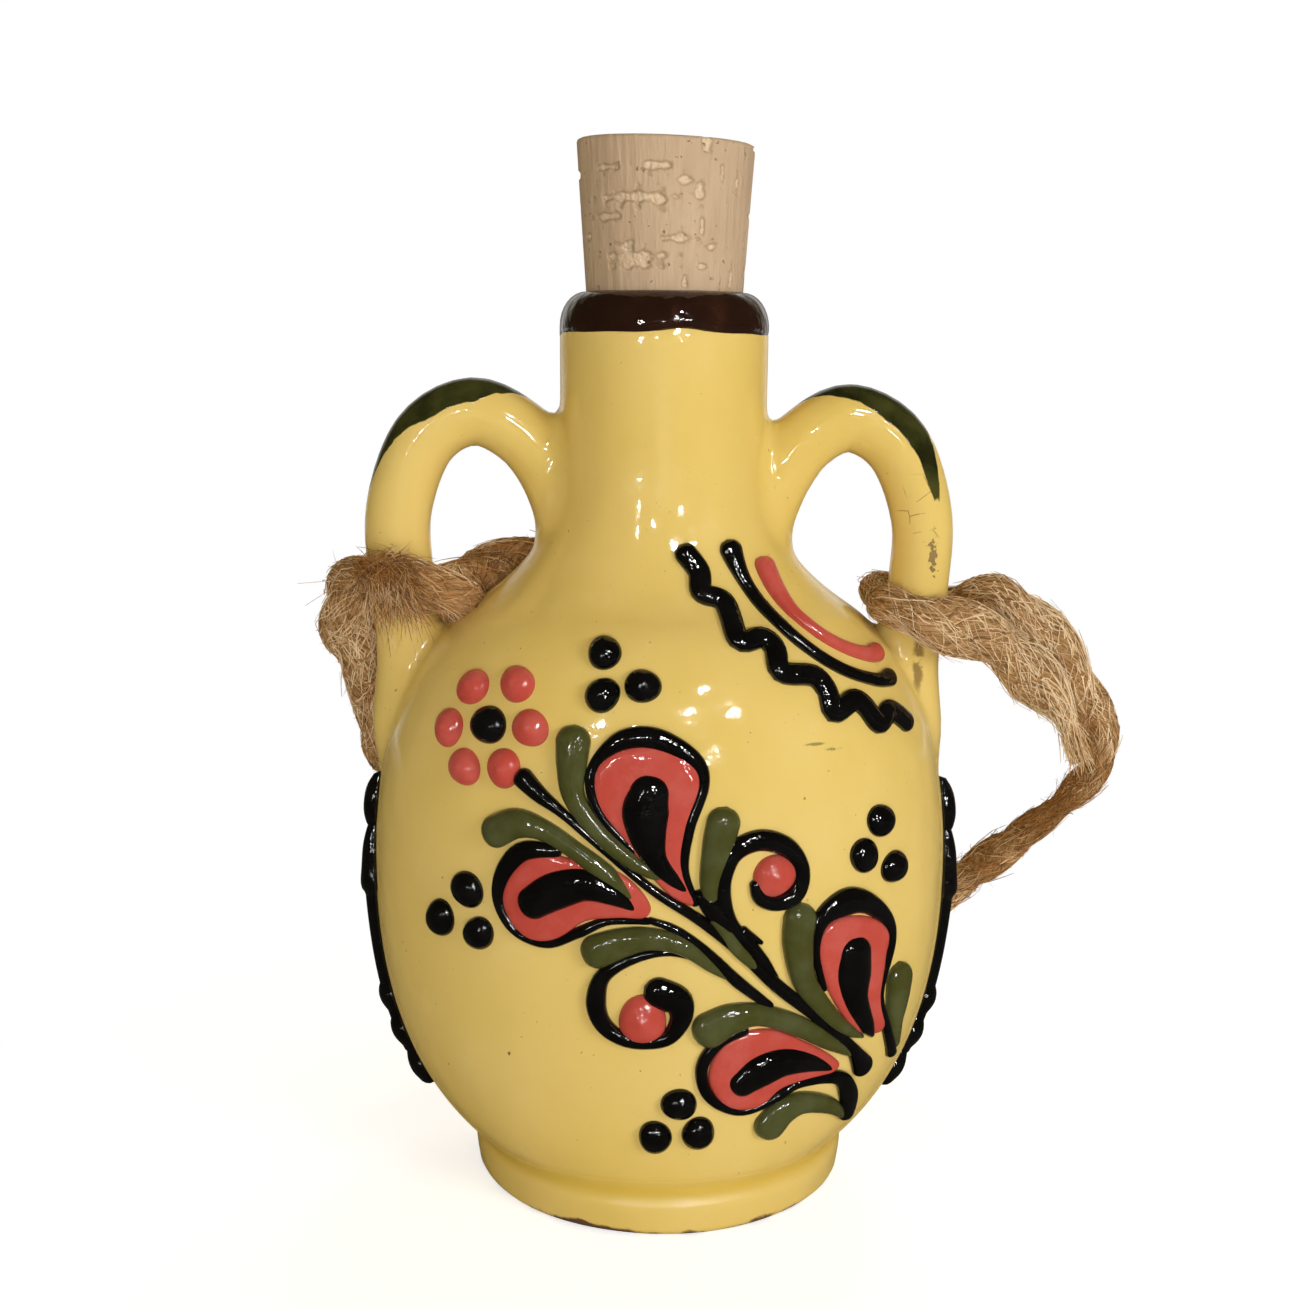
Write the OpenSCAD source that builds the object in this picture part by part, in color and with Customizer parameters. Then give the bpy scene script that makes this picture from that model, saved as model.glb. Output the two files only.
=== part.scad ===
// Flattened ceramic flask with two handles, raised slip ornament, a cork and a carrying rope.
// Millimetres. X runs from handle to handle, the decorated front faces -Y and Z is up from the foot.

/* [Body] */
// Half of the belly's width, without the handles
belly_half_width = 42; // [39:0.5:45]
// Half of the belly's depth, front to back
belly_half_depth = 30.5; // [28:0.5:33]
// Height of the widest place
belly_height = 46; // [43:0.5:49]
// Height of the shoulder, where the body turns into the neck
shoulder_height = 85; // [83:0.5:87]
// Height where the neck tube begins
neck_base = 106; // [104:0.5:108]
// Thickness of the fired wall
wall = 4; // [3:0.1:5]

/* [Neck and foot] */
// Outer radius of the neck
neck_radius = 14.5; // [13.5:0.1:15.5]
// Radius of the neck's bore
bore_radius = 11.1; // [10.5:0.1:11.5]
// Height of the lip above the table
lip_height = 129; // [125:0.5:134]
// Rounding of the lip's outer edge
lip_rounding = 3; // [2:0.1:3.2]
// Height of the dark glaze that the lip was dipped in
dip_height = 6.5; // [4:0.1:9]
// Outer radius of the foot ring
foot_radius = 26.7; // [25:0.1:28.5]
// Height of the foot ring
foot_height = 6.5; // [5.5:0.1:7.5]
// Width of the foot ring's standing face and wall
foot_wall = 5.5; // [4:0.1:7]

/* [Handles] */
// Radius of a handle's round bar
handle_radius = 4.6; // [4.2:0.1:5]
// Distance from the flask's axis to the middle of a handle's outer limb
handle_reach = 37.6; // [36.5:0.1:39]
// Rise of a handle's top above the neck's base, to the middle of its bar
handle_rise = 6; // [4:0.5:8]

/* [Cork] */
// Length of the cork
cork_length = 35; // [30:0.5:40]
// Length of the cork that sits in the neck
cork_depth = 14; // [11:0.5:17]
// Gap between the cork and the bore at the lip
cork_gap = 0.1; // [0.05:0.01:0.3]
// How much the cork's radius grows for each millimetre of height
cork_taper = 0.0625; // [0.03:0.0025:0.08]

/* [Ornament] */
// Height of the slip lines above the glaze
slip_height = 1.2; // [0.8:0.1:1.5]
// Radius of a black dot
dot_radius = 2.1; // [1.7:0.1:2.3]
// Radius of a red petal
petal_radius = 2.3; // [1.9:0.1:2.5]

/* [Rope] */
// Radius of the rope
rope_radius = 3; // [2.7:0.1:3.1]

/* [Hidden] */
$fn = 96;

glaze_yellow = [0.86, 0.70, 0.30];
glaze_brown = [0.10, 0.05, 0.04];
slip_black = [0.03, 0.03, 0.03];
slip_red = [0.72, 0.20, 0.17];
slip_green = [0.24, 0.25, 0.11];
cork_tan = [0.68, 0.54, 0.37];
jute_brown = [0.47, 0.32, 0.18];

// The body's profile is three cubic curves of [half width, half depth, height].
foot_join = foot_radius - 0.5;
shoulder_half_width = neck_radius + 0.455 * (belly_half_width - neck_radius);
shoulder_half_depth = neck_radius + 0.4375 * (belly_half_depth - neck_radius);
foot_edge = [foot_join, foot_join, foot_height];
belly = [belly_half_width, belly_half_depth, belly_height];
shoulder = [shoulder_half_width, shoulder_half_depth, shoulder_height];
neck_start = [neck_radius, neck_radius, neck_base];
flare = [0.43, 0.77, 0.165];
crown = [0.7, 0.89, 0.18];
low_curve = [foot_edge, foot_edge + along(flare, belly - foot_edge),
  [belly.x, belly.y, (foot_edge.z + belly.z) / 2], belly];
mid_curve = [belly, [belly.x, belly.y, belly.z + 0.46 * (shoulder.z - belly.z)],
  shoulder + along(crown, belly - shoulder), shoulder];
top_curve = [shoulder, shoulder - 0.667 * (mid_curve[2] - shoulder),
  [neck_radius + 0.5, neck_radius + 0.5, shoulder.z + 0.476 * (neck_base - shoulder.z)], neck_start];
curve_steps = 8;
profile = concat([for (i = [0:curve_steps]) cubic(low_curve, i / curve_steps)],
  [for (i = [1:curve_steps]) cubic(mid_curve, i / curve_steps)],
  [for (i = [1:curve_steps]) cubic(top_curve, i / curve_steps)]);
last = len(profile) - 1;
width_at = [for (p = profile) [p.z, p.x]];
depth_at = [for (p = profile) [p.z, p.y]];
around = 36;

function along(share, whole) = [share.x * whole.x, share.y * whole.y, share.z * whole.z];
function unit(v) = v / norm(v);
function cubic(c, t) = pow(1 - t, 3) * c[0] + 3 * t * pow(1 - t, 2) * c[1]
  + 3 * t * t * (1 - t) * c[2] + t * t * t * c[3];

// A ring of the body, counter-clockwise from above
function body_ring(p) = [for (j = [0:around - 1]) let (turn = 360 * j / around)
  [p.x * sin(turn), -p.y * cos(turn), p.z]];

// The same place on the wall's inner side
function inner(i) = let (up = profile[min(i + 1, last)] - profile[max(i - 1, 0)],
    out = unit([up.z, -up.x]),
    thick = wall + (neck_radius - bore_radius - wall) * i / last)
  profile[i] - thick * [out.x, out.x, out.y];

// Closed skin over a row of rings, with a flat cap at each end
module skin(rings) {
  n = len(rings[0]);
  m = len(rings);
  sides = [for (i = [0:m - 2], j = [0:n - 1]) let (k = (j + 1) % n)
    each [[i * n + j, (i + 1) * n + j, i * n + k], [(i + 1) * n + j, (i + 1) * n + k, i * n + k]]];
  first_cap = [for (j = [1:n - 2]) [0, j, j + 1]];
  last_cap = [for (j = [1:n - 2]) (m - 1) * n * [1, 1, 1] + [0, j + 1, j]];
  polyhedron(points = [for (r = rings) each r], faces = concat(sides, first_cap, last_cap));
}

module body() {
  color(glaze_yellow)
    skin(concat([for (p = profile) body_ring(p)], [for (i = [last:-1:0]) body_ring(inner(i))]));
}

// The body's outside as a full solid, for cutting what is set against it
module body_outside() {
  skin([for (p = profile) body_ring(p)]);
}

// Neck tube with a rounded lip
dip = 0.4;
module neck() {
  color(glaze_yellow) rotate_extrude() difference() {
    union() {
      translate([bore_radius, neck_base])
        square([neck_radius - bore_radius, lip_height - dip_height - neck_base]);
      translate([bore_radius, neck_base])
        square([neck_radius - dip - bore_radius, lip_height - neck_base - lip_rounding]);
      translate([bore_radius, neck_base])
        square([neck_radius - bore_radius - lip_rounding, lip_height - dip - neck_base]);
      translate([neck_radius - lip_rounding, lip_height - lip_rounding]) circle(lip_rounding - dip);
    }
    translate([0, neck_base]) square([bore_radius, lip_height]);
  }
}

// The dark coat that the lip was dipped in
module lip_glaze() {
  color(glaze_brown) rotate_extrude() difference() {
    union() {
      translate([neck_radius - lip_rounding, lip_height - dip_height])
        square([lip_rounding, dip_height - lip_rounding]);
      translate([neck_radius - lip_rounding, lip_height - lip_rounding]) circle(lip_rounding);
    }
    translate([0, lip_height - dip_height]) square([neck_radius - lip_rounding, dip_height]);
    translate([neck_radius - lip_rounding, lip_height - lip_rounding]) circle(lip_rounding - dip);
    translate([0, lip_height - dip_height])
      square([neck_radius - dip, dip_height - lip_rounding]);
  }
}

// Foot ring with soft edges on its standing face
foot_edge_rounding = 1.5;
module foot_ring() {
  inside = foot_radius - foot_wall;
  color(glaze_yellow) rotate_extrude() union() {
    translate([inside, foot_edge_rounding]) square([foot_wall, foot_height - foot_edge_rounding]);
    translate([inside + foot_edge_rounding, 0])
      square([foot_wall - 2 * foot_edge_rounding, foot_edge_rounding + 1]);
    for (x = [inside + foot_edge_rounding, foot_radius - foot_edge_rounding])
      translate([x, foot_edge_rounding]) circle(foot_edge_rounding);
  }
}

// A curve through every point of p, at t from 0 to 1
function through(p, t) = let (spans = len(p) - 1,
    k = min(floor(t * spans), spans - 1),
    f = t * spans - k,
    a = p[max(k - 1, 0)],
    b = p[k],
    c = p[k + 1],
    d = p[min(k + 2, spans)])
  b + f * (c - a) / 2 + f * f * (a - 2.5 * b + 2 * c - d / 2)
    + f * f * f * (1.5 * b - a / 2 - 1.5 * c + d / 2);

// A handle's bar: [distance from the axis, height, radius], from the neck over the top and down the side.
// It ends at a share of the shoulder's height, as the ornament below it does.
handle_top = neck_base + handle_rise;
handle_bend = shoulder_height * 77 / 85;
handle_foot = shoulder_height * 66 / 85;
handle_end = shoulder_height * 59 / 85;
handle_route = [
  [neck_radius - 1, shoulder_height + 12, handle_radius + 0.6],
  [neck_radius + 1.8, handle_top - 7.5, handle_radius + 0.4],
  [neck_radius + 6.2, handle_top - 2, handle_radius],
  [handle_reach - 10.4, handle_top, handle_radius],
  [handle_reach - 3.6, handle_top - 4, handle_radius],
  [handle_reach, handle_top - 14, handle_radius],
  [handle_reach - 0.2, shoulder_height + 3, handle_radius],
  [handle_reach - 1.2, handle_bend, handle_radius],
  [belly_half_width - 4.6, handle_foot, handle_radius],
  [belly_half_width - 3.6, handle_end, handle_radius / 2]];
handle_steps = 30;
handle_sides = 14;

function handle_ring(t) = let (p = through(handle_route, t),
    ahead = unit(through(handle_route, min(t + 0.005, 1)) - through(handle_route, max(t - 0.005, 0))),
    out = unit([ahead.y, -ahead.x]))
  [for (j = [0:handle_sides - 1]) let (turn = 360 * j / handle_sides)
    [p.x + p.z * cos(turn) * out.x, p.z * sin(turn), p.y + p.z * cos(turn) * out.y]];

module handle() {
  difference() {
    skin([for (i = [0:handle_steps]) handle_ring(i / handle_steps)]);
    body_outside();
    translate([0, 0, neck_base - 1]) cylinder(r = neck_radius, h = lip_height - neck_base);
  }
}

module right_handle() {
  color(glaze_yellow) handle();
}

module left_handle() {
  color(glaze_yellow) mirror([1, 0, 0]) handle();
}

// Tapered cork, its lower end in the neck
module cork() {
  lip_radius = bore_radius - cork_gap;
  low = lip_height - cork_depth;
  high = low + cork_length;
  edge = 0.6;
  color(cork_tan) union() {
    translate([0, 0, low])
      cylinder(r1 = lip_radius - cork_depth * cork_taper,
        r2 = lip_radius + (cork_length - cork_depth - edge) * cork_taper, h = cork_length - edge);
    translate([0, 0, high - edge])
      cylinder(r1 = lip_radius + (cork_length - cork_depth - edge) * cork_taper,
        r2 = lip_radius + (cork_length - cork_depth) * cork_taper - edge, h = edge);
  }
}

// The ornament is drawn on a chart of the front: x is millimetres across at the belly from the
// middle of the front, y is millimetres up from the table. It follows the body's own surface.
chart_degrees = 180 / (PI * 42);
chart_rise = shoulder_height / 85;
lift = 0.08;
function on_body(p) = let (z = p.y * chart_rise, lon = p.x * chart_degrees)
  [lookup(z, width_at) * sin(lon), -lookup(z, depth_at) * cos(lon), z];
function out_of_body(p) =
  unit(cross(on_body(p + [1, 0]) - on_body(p - [1, 0]), on_body(p + [0, 2]) - on_body(p - [0, 2])));

// A place of one slip line across its path: side runs across, out leaves the surface
function slip_ring(here, ahead, half, high, sway = 0) = let (out = out_of_body(here),
    side = unit(cross(out, ahead)),
    base = on_body(here) + lift * out + sway * side)
  [for (turn = [0:45:180]) base + half * cos(turn) * side + high * sin(turn) * out];

// How full a round end is at distance d from it
function round_end(d, r) = d >= r ? 1 : sqrt(max(0.05, 1 - pow(1 - d / r, 2)));
function path_length(p) = len(p) < 2 ? 0
  : norm(p[1] - p[0]) + path_length([for (i = [1:len(p) - 1]) p[i]]);

// A slip line through the chart points p, half as wide as head at its start and tail at its end
module line(p, head, tail, steps = 12, sway = 0, waves = 0) {
  long = path_length(p);
  skin([for (i = [0:steps])
    let (t = (i / steps + (1 - cos(180 * i / steps)) / 2) / 2,
      near = max(t - 0.01, 0),
      far = min(t + 0.01, 1),
      full = round_end(t * long, head) * round_end((1 - t) * long, tail))
    slip_ring(through(p, t), on_body(through(p, far)) - on_body(through(p, near)),
      (head + (tail - head) * t) * full, slip_height * full, sway * sin(360 * waves * t))]);
}

// A round drop of slip
module dome(p, radius) {
  out = out_of_body(p);
  translate(on_body(p) + lift * out) rotate([0, acos(out.z), atan2(out.y, out.x)])
    rotate_extrude() intersection() {
      translate([0, slip_height - dome_curve(radius)]) circle(dome_curve(radius));
      square([radius, slip_height]);
    }
}
function dome_curve(radius) = (radius * radius + slip_height * slip_height) / (2 * slip_height);

// The spray's stem, its lower branch and the hook at its end
stem_lines = [
  [[-19.5, 65], [-15, 62], [-7.5, 55.5], [4.5, 47.3], [12, 40], [22, 31], [33, 23.5]],
  [[6.5, 43.2], [9.3, 39.4], [11.5, 36.7]],
  [[29.5, 22.3], [33, 20.5], [36, 16.5]]];
stem_half = 0.65;
module stem() {
  color(slip_black) {
    line(stem_lines[0], 1.1, stem_half, 24);
    line(stem_lines[1], stem_half, stem_half, 8);
    line(stem_lines[2], stem_half, stem_half, 8);
  }
}

// Leaves run from their round heads to their thin tails
leaf_lines = [
  [[-13.5, 71.2], [-14, 66], [-11, 62], [-5.8, 57.4], [0, 52.8]],
  [[-25, 58], [-20.5, 60.8], [-14.5, 58.3], [-8, 53.4]],
  [[8.3, 60.8], [7, 58], [5.9, 54.5]],
  [[-9.5, 42], [-4.8, 44.6], [0.3, 44.2], [4.5, 41.9]],
  [[18.6, 45.2], [17.8, 41], [20.2, 36.3], [24.7, 31.4], [29.5, 28.2]],
  [[39, 35.5], [39.2, 31], [42, 26.5]],
  [[5.5, 31.2], [10.5, 33], [16, 31], [22, 27.3], [28, 24]],
  [[17.5, 14.5], [20.5, 17.3], [26, 17.3], [32, 14.5]]];
leaf_head = 1.9;
leaf_tail = 0.5;
module leaves() {
  color(slip_green) for (p = leaf_lines) line(p, leaf_head, leaf_tail);
}

// Drops: [tip, head, half width of the outline's middle]
drops = [
  [[3.4, 51.2], [-3.2, 72], 7.6],
  [[-1.6, 47.8], [-23.6, 49.4], 5.9],
  [[33.6, 28.6], [26, 48.4], 6.6],
  [[27, 23], [4.8, 24.4], 5.2]];
outline_half = 0.7;
drop_gap = 0.5;
function fill_half(half) = 0.15 * half;
function drop_shape(turn) = sin(turn) * pow(sin(turn / 2), 2) / 0.65;
function drop_place(tip, head, half, turn) = let (axis = head - tip, side = unit([-axis.y, axis.x]))
  tip + axis * (1 - cos(turn)) / 2 + side * half * drop_shape(turn);

// A loop of slip round a drop, open at the tip
module drop_loop(tip, head, half, line_half, open, steps = 20) {
  skin([for (i = [0:steps])
    let (turn = open + (360 - 2 * open) * i / steps,
      ahead = on_body(drop_place(tip, head, half, turn + 2))
        - on_body(drop_place(tip, head, half, turn - 2)),
      full = i % steps == 0 ? 0.5 : 1)
    slip_ring(drop_place(tip, head, half, turn), ahead, line_half * full, slip_height * full)]);
}

// How far a drop's fill and core start from the outline's middle
function fill_inset(half) = outline_half + drop_gap + fill_half(half);
function core_inset(half) = fill_inset(half) + fill_half(half) + drop_gap;
function toward_tip(d, inset) = d[1] + inset * unit(d[0] - d[1]);
function from_tip(d, share) = d[0] + share * (d[1] - d[0]);

module drop_outlines() {
  color(slip_black) for (d = drops) drop_loop(d[0], d[1], d[2], outline_half, 40);
}

module drop_fills() {
  color(slip_red) for (d = drops) let (inset = fill_inset(d[2]))
    drop_loop(from_tip(d, 0.22), toward_tip(d, inset), d[2] - inset, fill_half(d[2]), 54);
}

module drop_cores() {
  color(slip_black) for (d = drops) drop_core(d);
}

module drop_core(d) {
  inset = core_inset(d[2]);
  tip = from_tip(d, 0.4);
  head = toward_tip(d, inset);
  ahead = on_body(head) - on_body(tip);
  skin([for (turn = [30:15:165])
    let (here = tip + (head - tip) * (1 - cos(turn)) / 2,
      full = turn > 30 && turn < 165 ? 1 : 0.6)
    slip_ring(here, ahead, (d[2] - inset) * drop_shape(turn), slip_height * full)]);
}

// Two tendrils, each curling round a berry
curl_lines = [
  [[14, 42.6], [10.4, 46.4], [8.6, 49.7], [8.3, 53.3], [10.2, 57], [13.8, 58.4], [17.6, 56.7], [19.6, 52.6],
    [18.4, 49], [15.2, 47.7], [12.4, 48.9], [11.8, 51.4]],
  [[2.5, 41.2], [-1, 41.6], [-5.8, 40.6], [-9.7, 38], [-10.8, 34.5], [-8.6, 31], [-4.2, 29.2], [0.2, 30.2],
    [2.8, 33.4], [2.8, 36.7], [0.2, 38.2], [-2.2, 37.2]]];
berries_at = [[15.4, 53], [-3, 33.4]];
curl_root = 0.6;
curl_end = 1.1;
module curls() {
  color(slip_black) for (p = curl_lines) line(p, curl_root, curl_end, 30);
}

module berries() {
  color(slip_red) for (p = berries_at) dome(p, petal_radius);
}

// The flower: six petals round an eye
petals_at = [[-34, 76.3], [-25, 77.2], [-36.5, 70.8], [-20.5, 71.9], [-31.5, 65.6], [-24, 66.4]];
eye_at = [-28.1, 71.7];
module flower_petals() {
  color(slip_red) for (p = petals_at) dome(p, petal_radius);
}

module flower_eye() {
  color(slip_black) dome(eye_at, dot_radius);
}

// Dots in threes
dots_at = [[-10.6, 81.5], [-9.8, 76.5], [-3.5, 77.6], [-34, 44.4], [-28.6, 49], [-27, 43.3],
  [33.4, 57.7], [29.5, 53.4], [35.8, 51.8], [2, 20.6], [-1.6, 15.8], [5.4, 16]];
module dot_clusters() {
  color(slip_black) for (p = dots_at) dome(p, dot_radius);
}

// Three stripes over the right shoulder
module shoulder_wave() {
  color(slip_black) line([[7.5, 93], [13, 86.5], [20, 81], [28.5, 75.5], [43, 70]], 1.2, 1.1, 42, 0.8, 6);
}

module shoulder_line() {
  color(slip_black) line([[23, 93], [24.5, 86], [29.5, 79.8], [37, 76.5], [44.5, 75.2]], 1, 0.8, 16);
}

module shoulder_red_line() {
  color(slip_red) line([[34, 90.5], [32.3, 85.5], [36.5, 81], [44.5, 79.2]], 1.1, 1, 14);
}

// A sprig down each side, below the handle: [start, end, half width at the start]
sprig_drops = [[[63, 57], [62, 52.5], 1.3], [[60.5, 51], [60.5, 45], 1.4], [[61, 43], [61, 40.5], 1.1],
  [[61, 39], [61.5, 26.5], 0.5], [[61.5, 25], [61.5, 21], 1.1], [[61, 19.5], [61, 15.5], 1.1],
  [[60.5, 14], [60.5, 10.5], 1]];
module sprig(side) {
  color(slip_black) for (d = sprig_drops)
    line([[side * d[0].x, d[0].y], [side * d[1].x, d[1].y]], d[2], 0.45, 8);
}

module left_sprig() {
  sprig(-1);
}

module right_sprig() {
  sprig(1);
}

// The rope's middle line, from its left end through both handles to its right end
hold = handle_radius + rope_radius + 0.4;
slant = hold * 0.72;
limb = handle_reach;
knot = shoulder_height + 3;
side = belly_half_width;
back = belly_half_depth;
table = rope_radius + 0.2;
left_route = [[-5, neck_radius + 6.8, knot + 3], [-19, neck_radius + 0.5, knot + 1.5],
  [-limb + 10.1, 5.5, knot + 0.6], [3 - limb + hold / 2, -5, knot + 0.2], [-limb, -hold, knot + 1.5],
  [-limb - hold + 1.5, -5, knot], [-side - 4.8, 0.5, knot - 6], [-side - 4, 5.5, knot - 13.5],
  [-side - 2.8, 10.5, belly_height + 20.5], [-side - 0.8, 16.5, belly_height + 12]];
back_route = [[6 - side, back - 2, belly_height - 1], [12 - side, back + 7.5, 28],
  [18 - side, back + 13, 12], [-14, back + 17, table + 1.4], [0, back + 18, table],
  [16, back + 18, table + 1], [side - 11, back + 15, 8], [side, back + 11, 20], [side + 8.5, back + 6.5, 31],
  [side + 15, back - 2.5, 40], [side + 20, 18, belly_height + 3], [side + 23.5, 5, belly_height + 14]];
right_route = [[side + 21, 1, belly_height + 24], [side + 14.5, -0.5, knot - 8.5], [side + 7.5, 1, knot - 2],
  [limb + hold - 1.4, 5.5, knot - 4.5], [limb, hold, knot - 4], [limb - slant, slant, knot - 2],
  [limb - hold, 0, knot - 0.9], [limb - slant, -slant, knot - 2.2], [limb, -hold, knot - 4.2],
  [limb + 6, -7, knot - 6.2], [side + 6.9, -5.6, knot - 9], [side + 11.3, -5.4, knot - 12.8],
  [side + 15.8, -5.2, knot - 18.4], [side + 18.8, -4.4, knot - 25]];
rope_route = concat(left_route, back_route, right_route);
span_steps = 3;
rope_rings = (len(rope_route) - 1) * span_steps;
left_end = (len(left_route) - 1) * span_steps;
back_end = (len(left_route) + len(back_route) - 1) * span_steps;
rope_sides = 8;
rope_line = [for (i = [0:rope_rings]) through(rope_route, i / rope_rings)];
rope_ahead = [for (i = [0:rope_rings])
  unit(rope_line[min(i + 1, rope_rings)] - rope_line[max(i - 1, 0)])];
rope_side = [for (i = 0, s = unit(cross(rope_ahead[0], [0, 0, 1])); i <= rope_rings;
  i = i + 1, s = unit(s - (s * rope_ahead[min(i, rope_rings)]) * rope_ahead[min(i, rope_rings)])) s];

function rope_ring(i) = let (up = cross(rope_ahead[i], rope_side[i]))
  [for (j = [0:rope_sides - 1]) let (turn = 360 * j / rope_sides)
    rope_line[i] + rope_radius * (cos(turn) * rope_side[i] + sin(turn) * up)];

// The least gap between places of the rope that are more than six rings apart
rope_gap = min([for (i = [0:rope_rings - 7], j = [i + 7:rope_rings])
  norm(rope_line[i] - rope_line[j])]) - 2 * rope_radius;
echo(rope_least_gap = rope_gap);

module rope(first, final) {
  color(jute_brown) skin([for (i = [first:final]) rope_ring(i)]);
}

module left_hitch() {
  rope(0, left_end);
}

module carry_cord() {
  rope(left_end, back_end);
}

module right_hitch() {
  rope(back_end, rope_rings);
}

body();
neck();
lip_glaze();
foot_ring();
left_handle();
right_handle();
stem();
leaves();
drop_outlines();
drop_fills();
drop_cores();
curls();
berries();
flower_petals();
flower_eye();
dot_clusters();
shoulder_wave();
shoulder_line();
shoulder_red_line();
left_sprig();
right_sprig();
cork();
left_hitch();
carry_cord();
right_hitch();
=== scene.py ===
"""Looks of a slip-trailed ceramic flask with a cork and a jute rope.

Sizes are millimetres, in the frame of the solids, until make_object() turns them into metres.
"""
import itertools
import math

import bpy
import numpy as np
from mathutils import Matrix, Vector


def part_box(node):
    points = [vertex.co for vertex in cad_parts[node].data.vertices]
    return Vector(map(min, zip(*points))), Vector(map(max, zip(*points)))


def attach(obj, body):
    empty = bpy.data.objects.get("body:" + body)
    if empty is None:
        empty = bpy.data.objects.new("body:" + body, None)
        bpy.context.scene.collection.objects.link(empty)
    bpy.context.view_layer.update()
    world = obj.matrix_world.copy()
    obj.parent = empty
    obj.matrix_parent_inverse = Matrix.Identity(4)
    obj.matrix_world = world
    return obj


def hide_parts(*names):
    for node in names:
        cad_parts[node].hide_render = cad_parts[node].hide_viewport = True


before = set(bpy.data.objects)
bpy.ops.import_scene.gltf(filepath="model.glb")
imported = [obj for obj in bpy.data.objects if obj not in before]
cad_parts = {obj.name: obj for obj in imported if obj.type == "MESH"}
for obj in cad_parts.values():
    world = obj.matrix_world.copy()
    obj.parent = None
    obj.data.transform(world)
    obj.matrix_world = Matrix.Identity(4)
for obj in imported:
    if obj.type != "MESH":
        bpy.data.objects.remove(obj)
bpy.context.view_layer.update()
MM = 0.001
TURN = 2 * math.pi


# Sizes taken from the solids' boxes, or the same as in their source

def node_box(name):
    low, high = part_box(name)
    return np.array(low) / MM, np.array(high) / MM


belly_half_width, belly_half_depth, _ = node_box("body")[1]
foot_radius, _, foot_height = node_box("foot_ring")[1]
neck_base = node_box("neck")[0][2]
neck_radius, _, lip_height = node_box("lip_glaze")[1]
dip_edge = node_box("lip_glaze")[0][2]
cork_low, cork_high = node_box("cork")
handle_radius = 4.6
handle_reach = node_box("right_handle")[1][0] - handle_radius
bore_radius = 11.1
rope_radius = 3
wall = 4
belly_height = 46
shoulder_height = 85
handle_top = neck_base + 6
chart_radius = 42


# Camera, in the photograph's place

CAMERA_PLACE = (-0.98, -252, 121)
CAMERA_LENS = 48.13
LOOKING_DOWN = 9.87
ROLLED = 0.5


def make_camera():
    camera = bpy.data.cameras.new("camera")
    camera.sensor_width = 36
    camera.lens = CAMERA_LENS
    camera.clip_start = 0.01
    camera_object = bpy.data.objects.new("camera", camera)
    camera_object.location = [MM * value for value in CAMERA_PLACE]
    tilt = Matrix.Rotation(math.radians(90 - LOOKING_DOWN), 3, "X")
    roll = Matrix.Rotation(math.radians(ROLLED), 3, "Z")
    camera_object.rotation_euler = (tilt @ roll).to_euler()
    bpy.context.scene.collection.objects.link(camera_object)
    bpy.context.scene.camera = camera_object


# Tools for points and meshes

def unit(v):
    return v / np.maximum(np.linalg.norm(v, axis=-1, keepdims=True), 1e-9)


def smooth_step(low, high, value):
    t = np.clip((value - low) / (high - low), 0, 1)
    return t * t * (3 - 2 * t)


def bell(points, place, reach):
    """1 at a place, falling off softly round it."""
    return np.exp(-(np.linalg.norm(points - place, axis=1) / reach) ** 2)


def through(points, t):
    """Places at t, from 0 to 1, on a smooth curve through every point."""
    points = np.asarray(points, float)
    spans = len(points) - 1
    t = np.asarray(t, float) * spans
    k = np.minimum(t.astype(int), spans - 1)
    f = (t - k)[:, None]
    a = points[np.maximum(k - 1, 0)]
    b = points[k]
    c = points[k + 1]
    d = points[np.minimum(k + 2, spans)]
    bend = f ** 2 * (a - 2.5 * b + 2 * c - d / 2)
    return b + f * (c - a) / 2 + bend + f ** 3 * (1.5 * b - a / 2 - 1.5 * c + d / 2)


def run_along(line):
    """Length along a line at each of its points."""
    return np.concatenate([[0], np.cumsum(np.linalg.norm(np.diff(line, axis=0), axis=1))])


def even(line, count):
    """The same line with count points spaced evenly along it."""
    at = run_along(line)
    want = np.linspace(0, at[-1], count)
    return np.stack([np.interp(want, at, line[:, i]) for i in range(line.shape[1])], axis=1)


def frames_along(line):
    """Directions ahead, aside and up along a line, without twist."""
    ahead = unit(np.gradient(line, axis=0))
    aside = np.empty_like(ahead)
    start = np.cross(ahead[0], (0, 0, 1))
    for i, direction in enumerate(ahead):
        start = unit(start - (start @ direction) * direction)
        aside[i] = start
    return ahead, aside, np.cross(ahead, aside)


def grid_quads(rings, sides, closed=False):
    """Quads between rings that follow each other; closed joins the last ring to the first."""
    i, j = np.meshgrid(np.arange(rings if closed else rings - 1), np.arange(sides), indexing="ij")
    k = (j + 1) % sides
    m = (i + 1) % rings
    return np.stack([i * sides + j, i * sides + k, m * sides + k, m * sides + j], axis=-1).reshape(-1, 4)


def ring_faces(rings, sides, first=0):
    """Faces of a tube with a cap at each end."""
    faces = (grid_quads(rings, sides) + first).tolist()
    faces.append([first + s for s in range(sides - 1, -1, -1)])
    faces.append([first + (rings - 1) * sides + s for s in range(sides)])
    return faces


class Pile:
    """Loose shells that make up one mesh."""

    def __init__(self):
        self.points = []
        self.faces = []
        self.count = 0

    def add(self, rings):
        rings = np.asarray(rings)
        self.faces += ring_faces(rings.shape[0], rings.shape[1], self.count)
        self.points.append(rings.reshape(-1, 3))
        self.count += rings.shape[0] * rings.shape[1]

    def make(self, name, material, nodes, body="flask"):
        return make_object(name, np.concatenate(self.points), self.faces, material, nodes, body)


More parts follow.
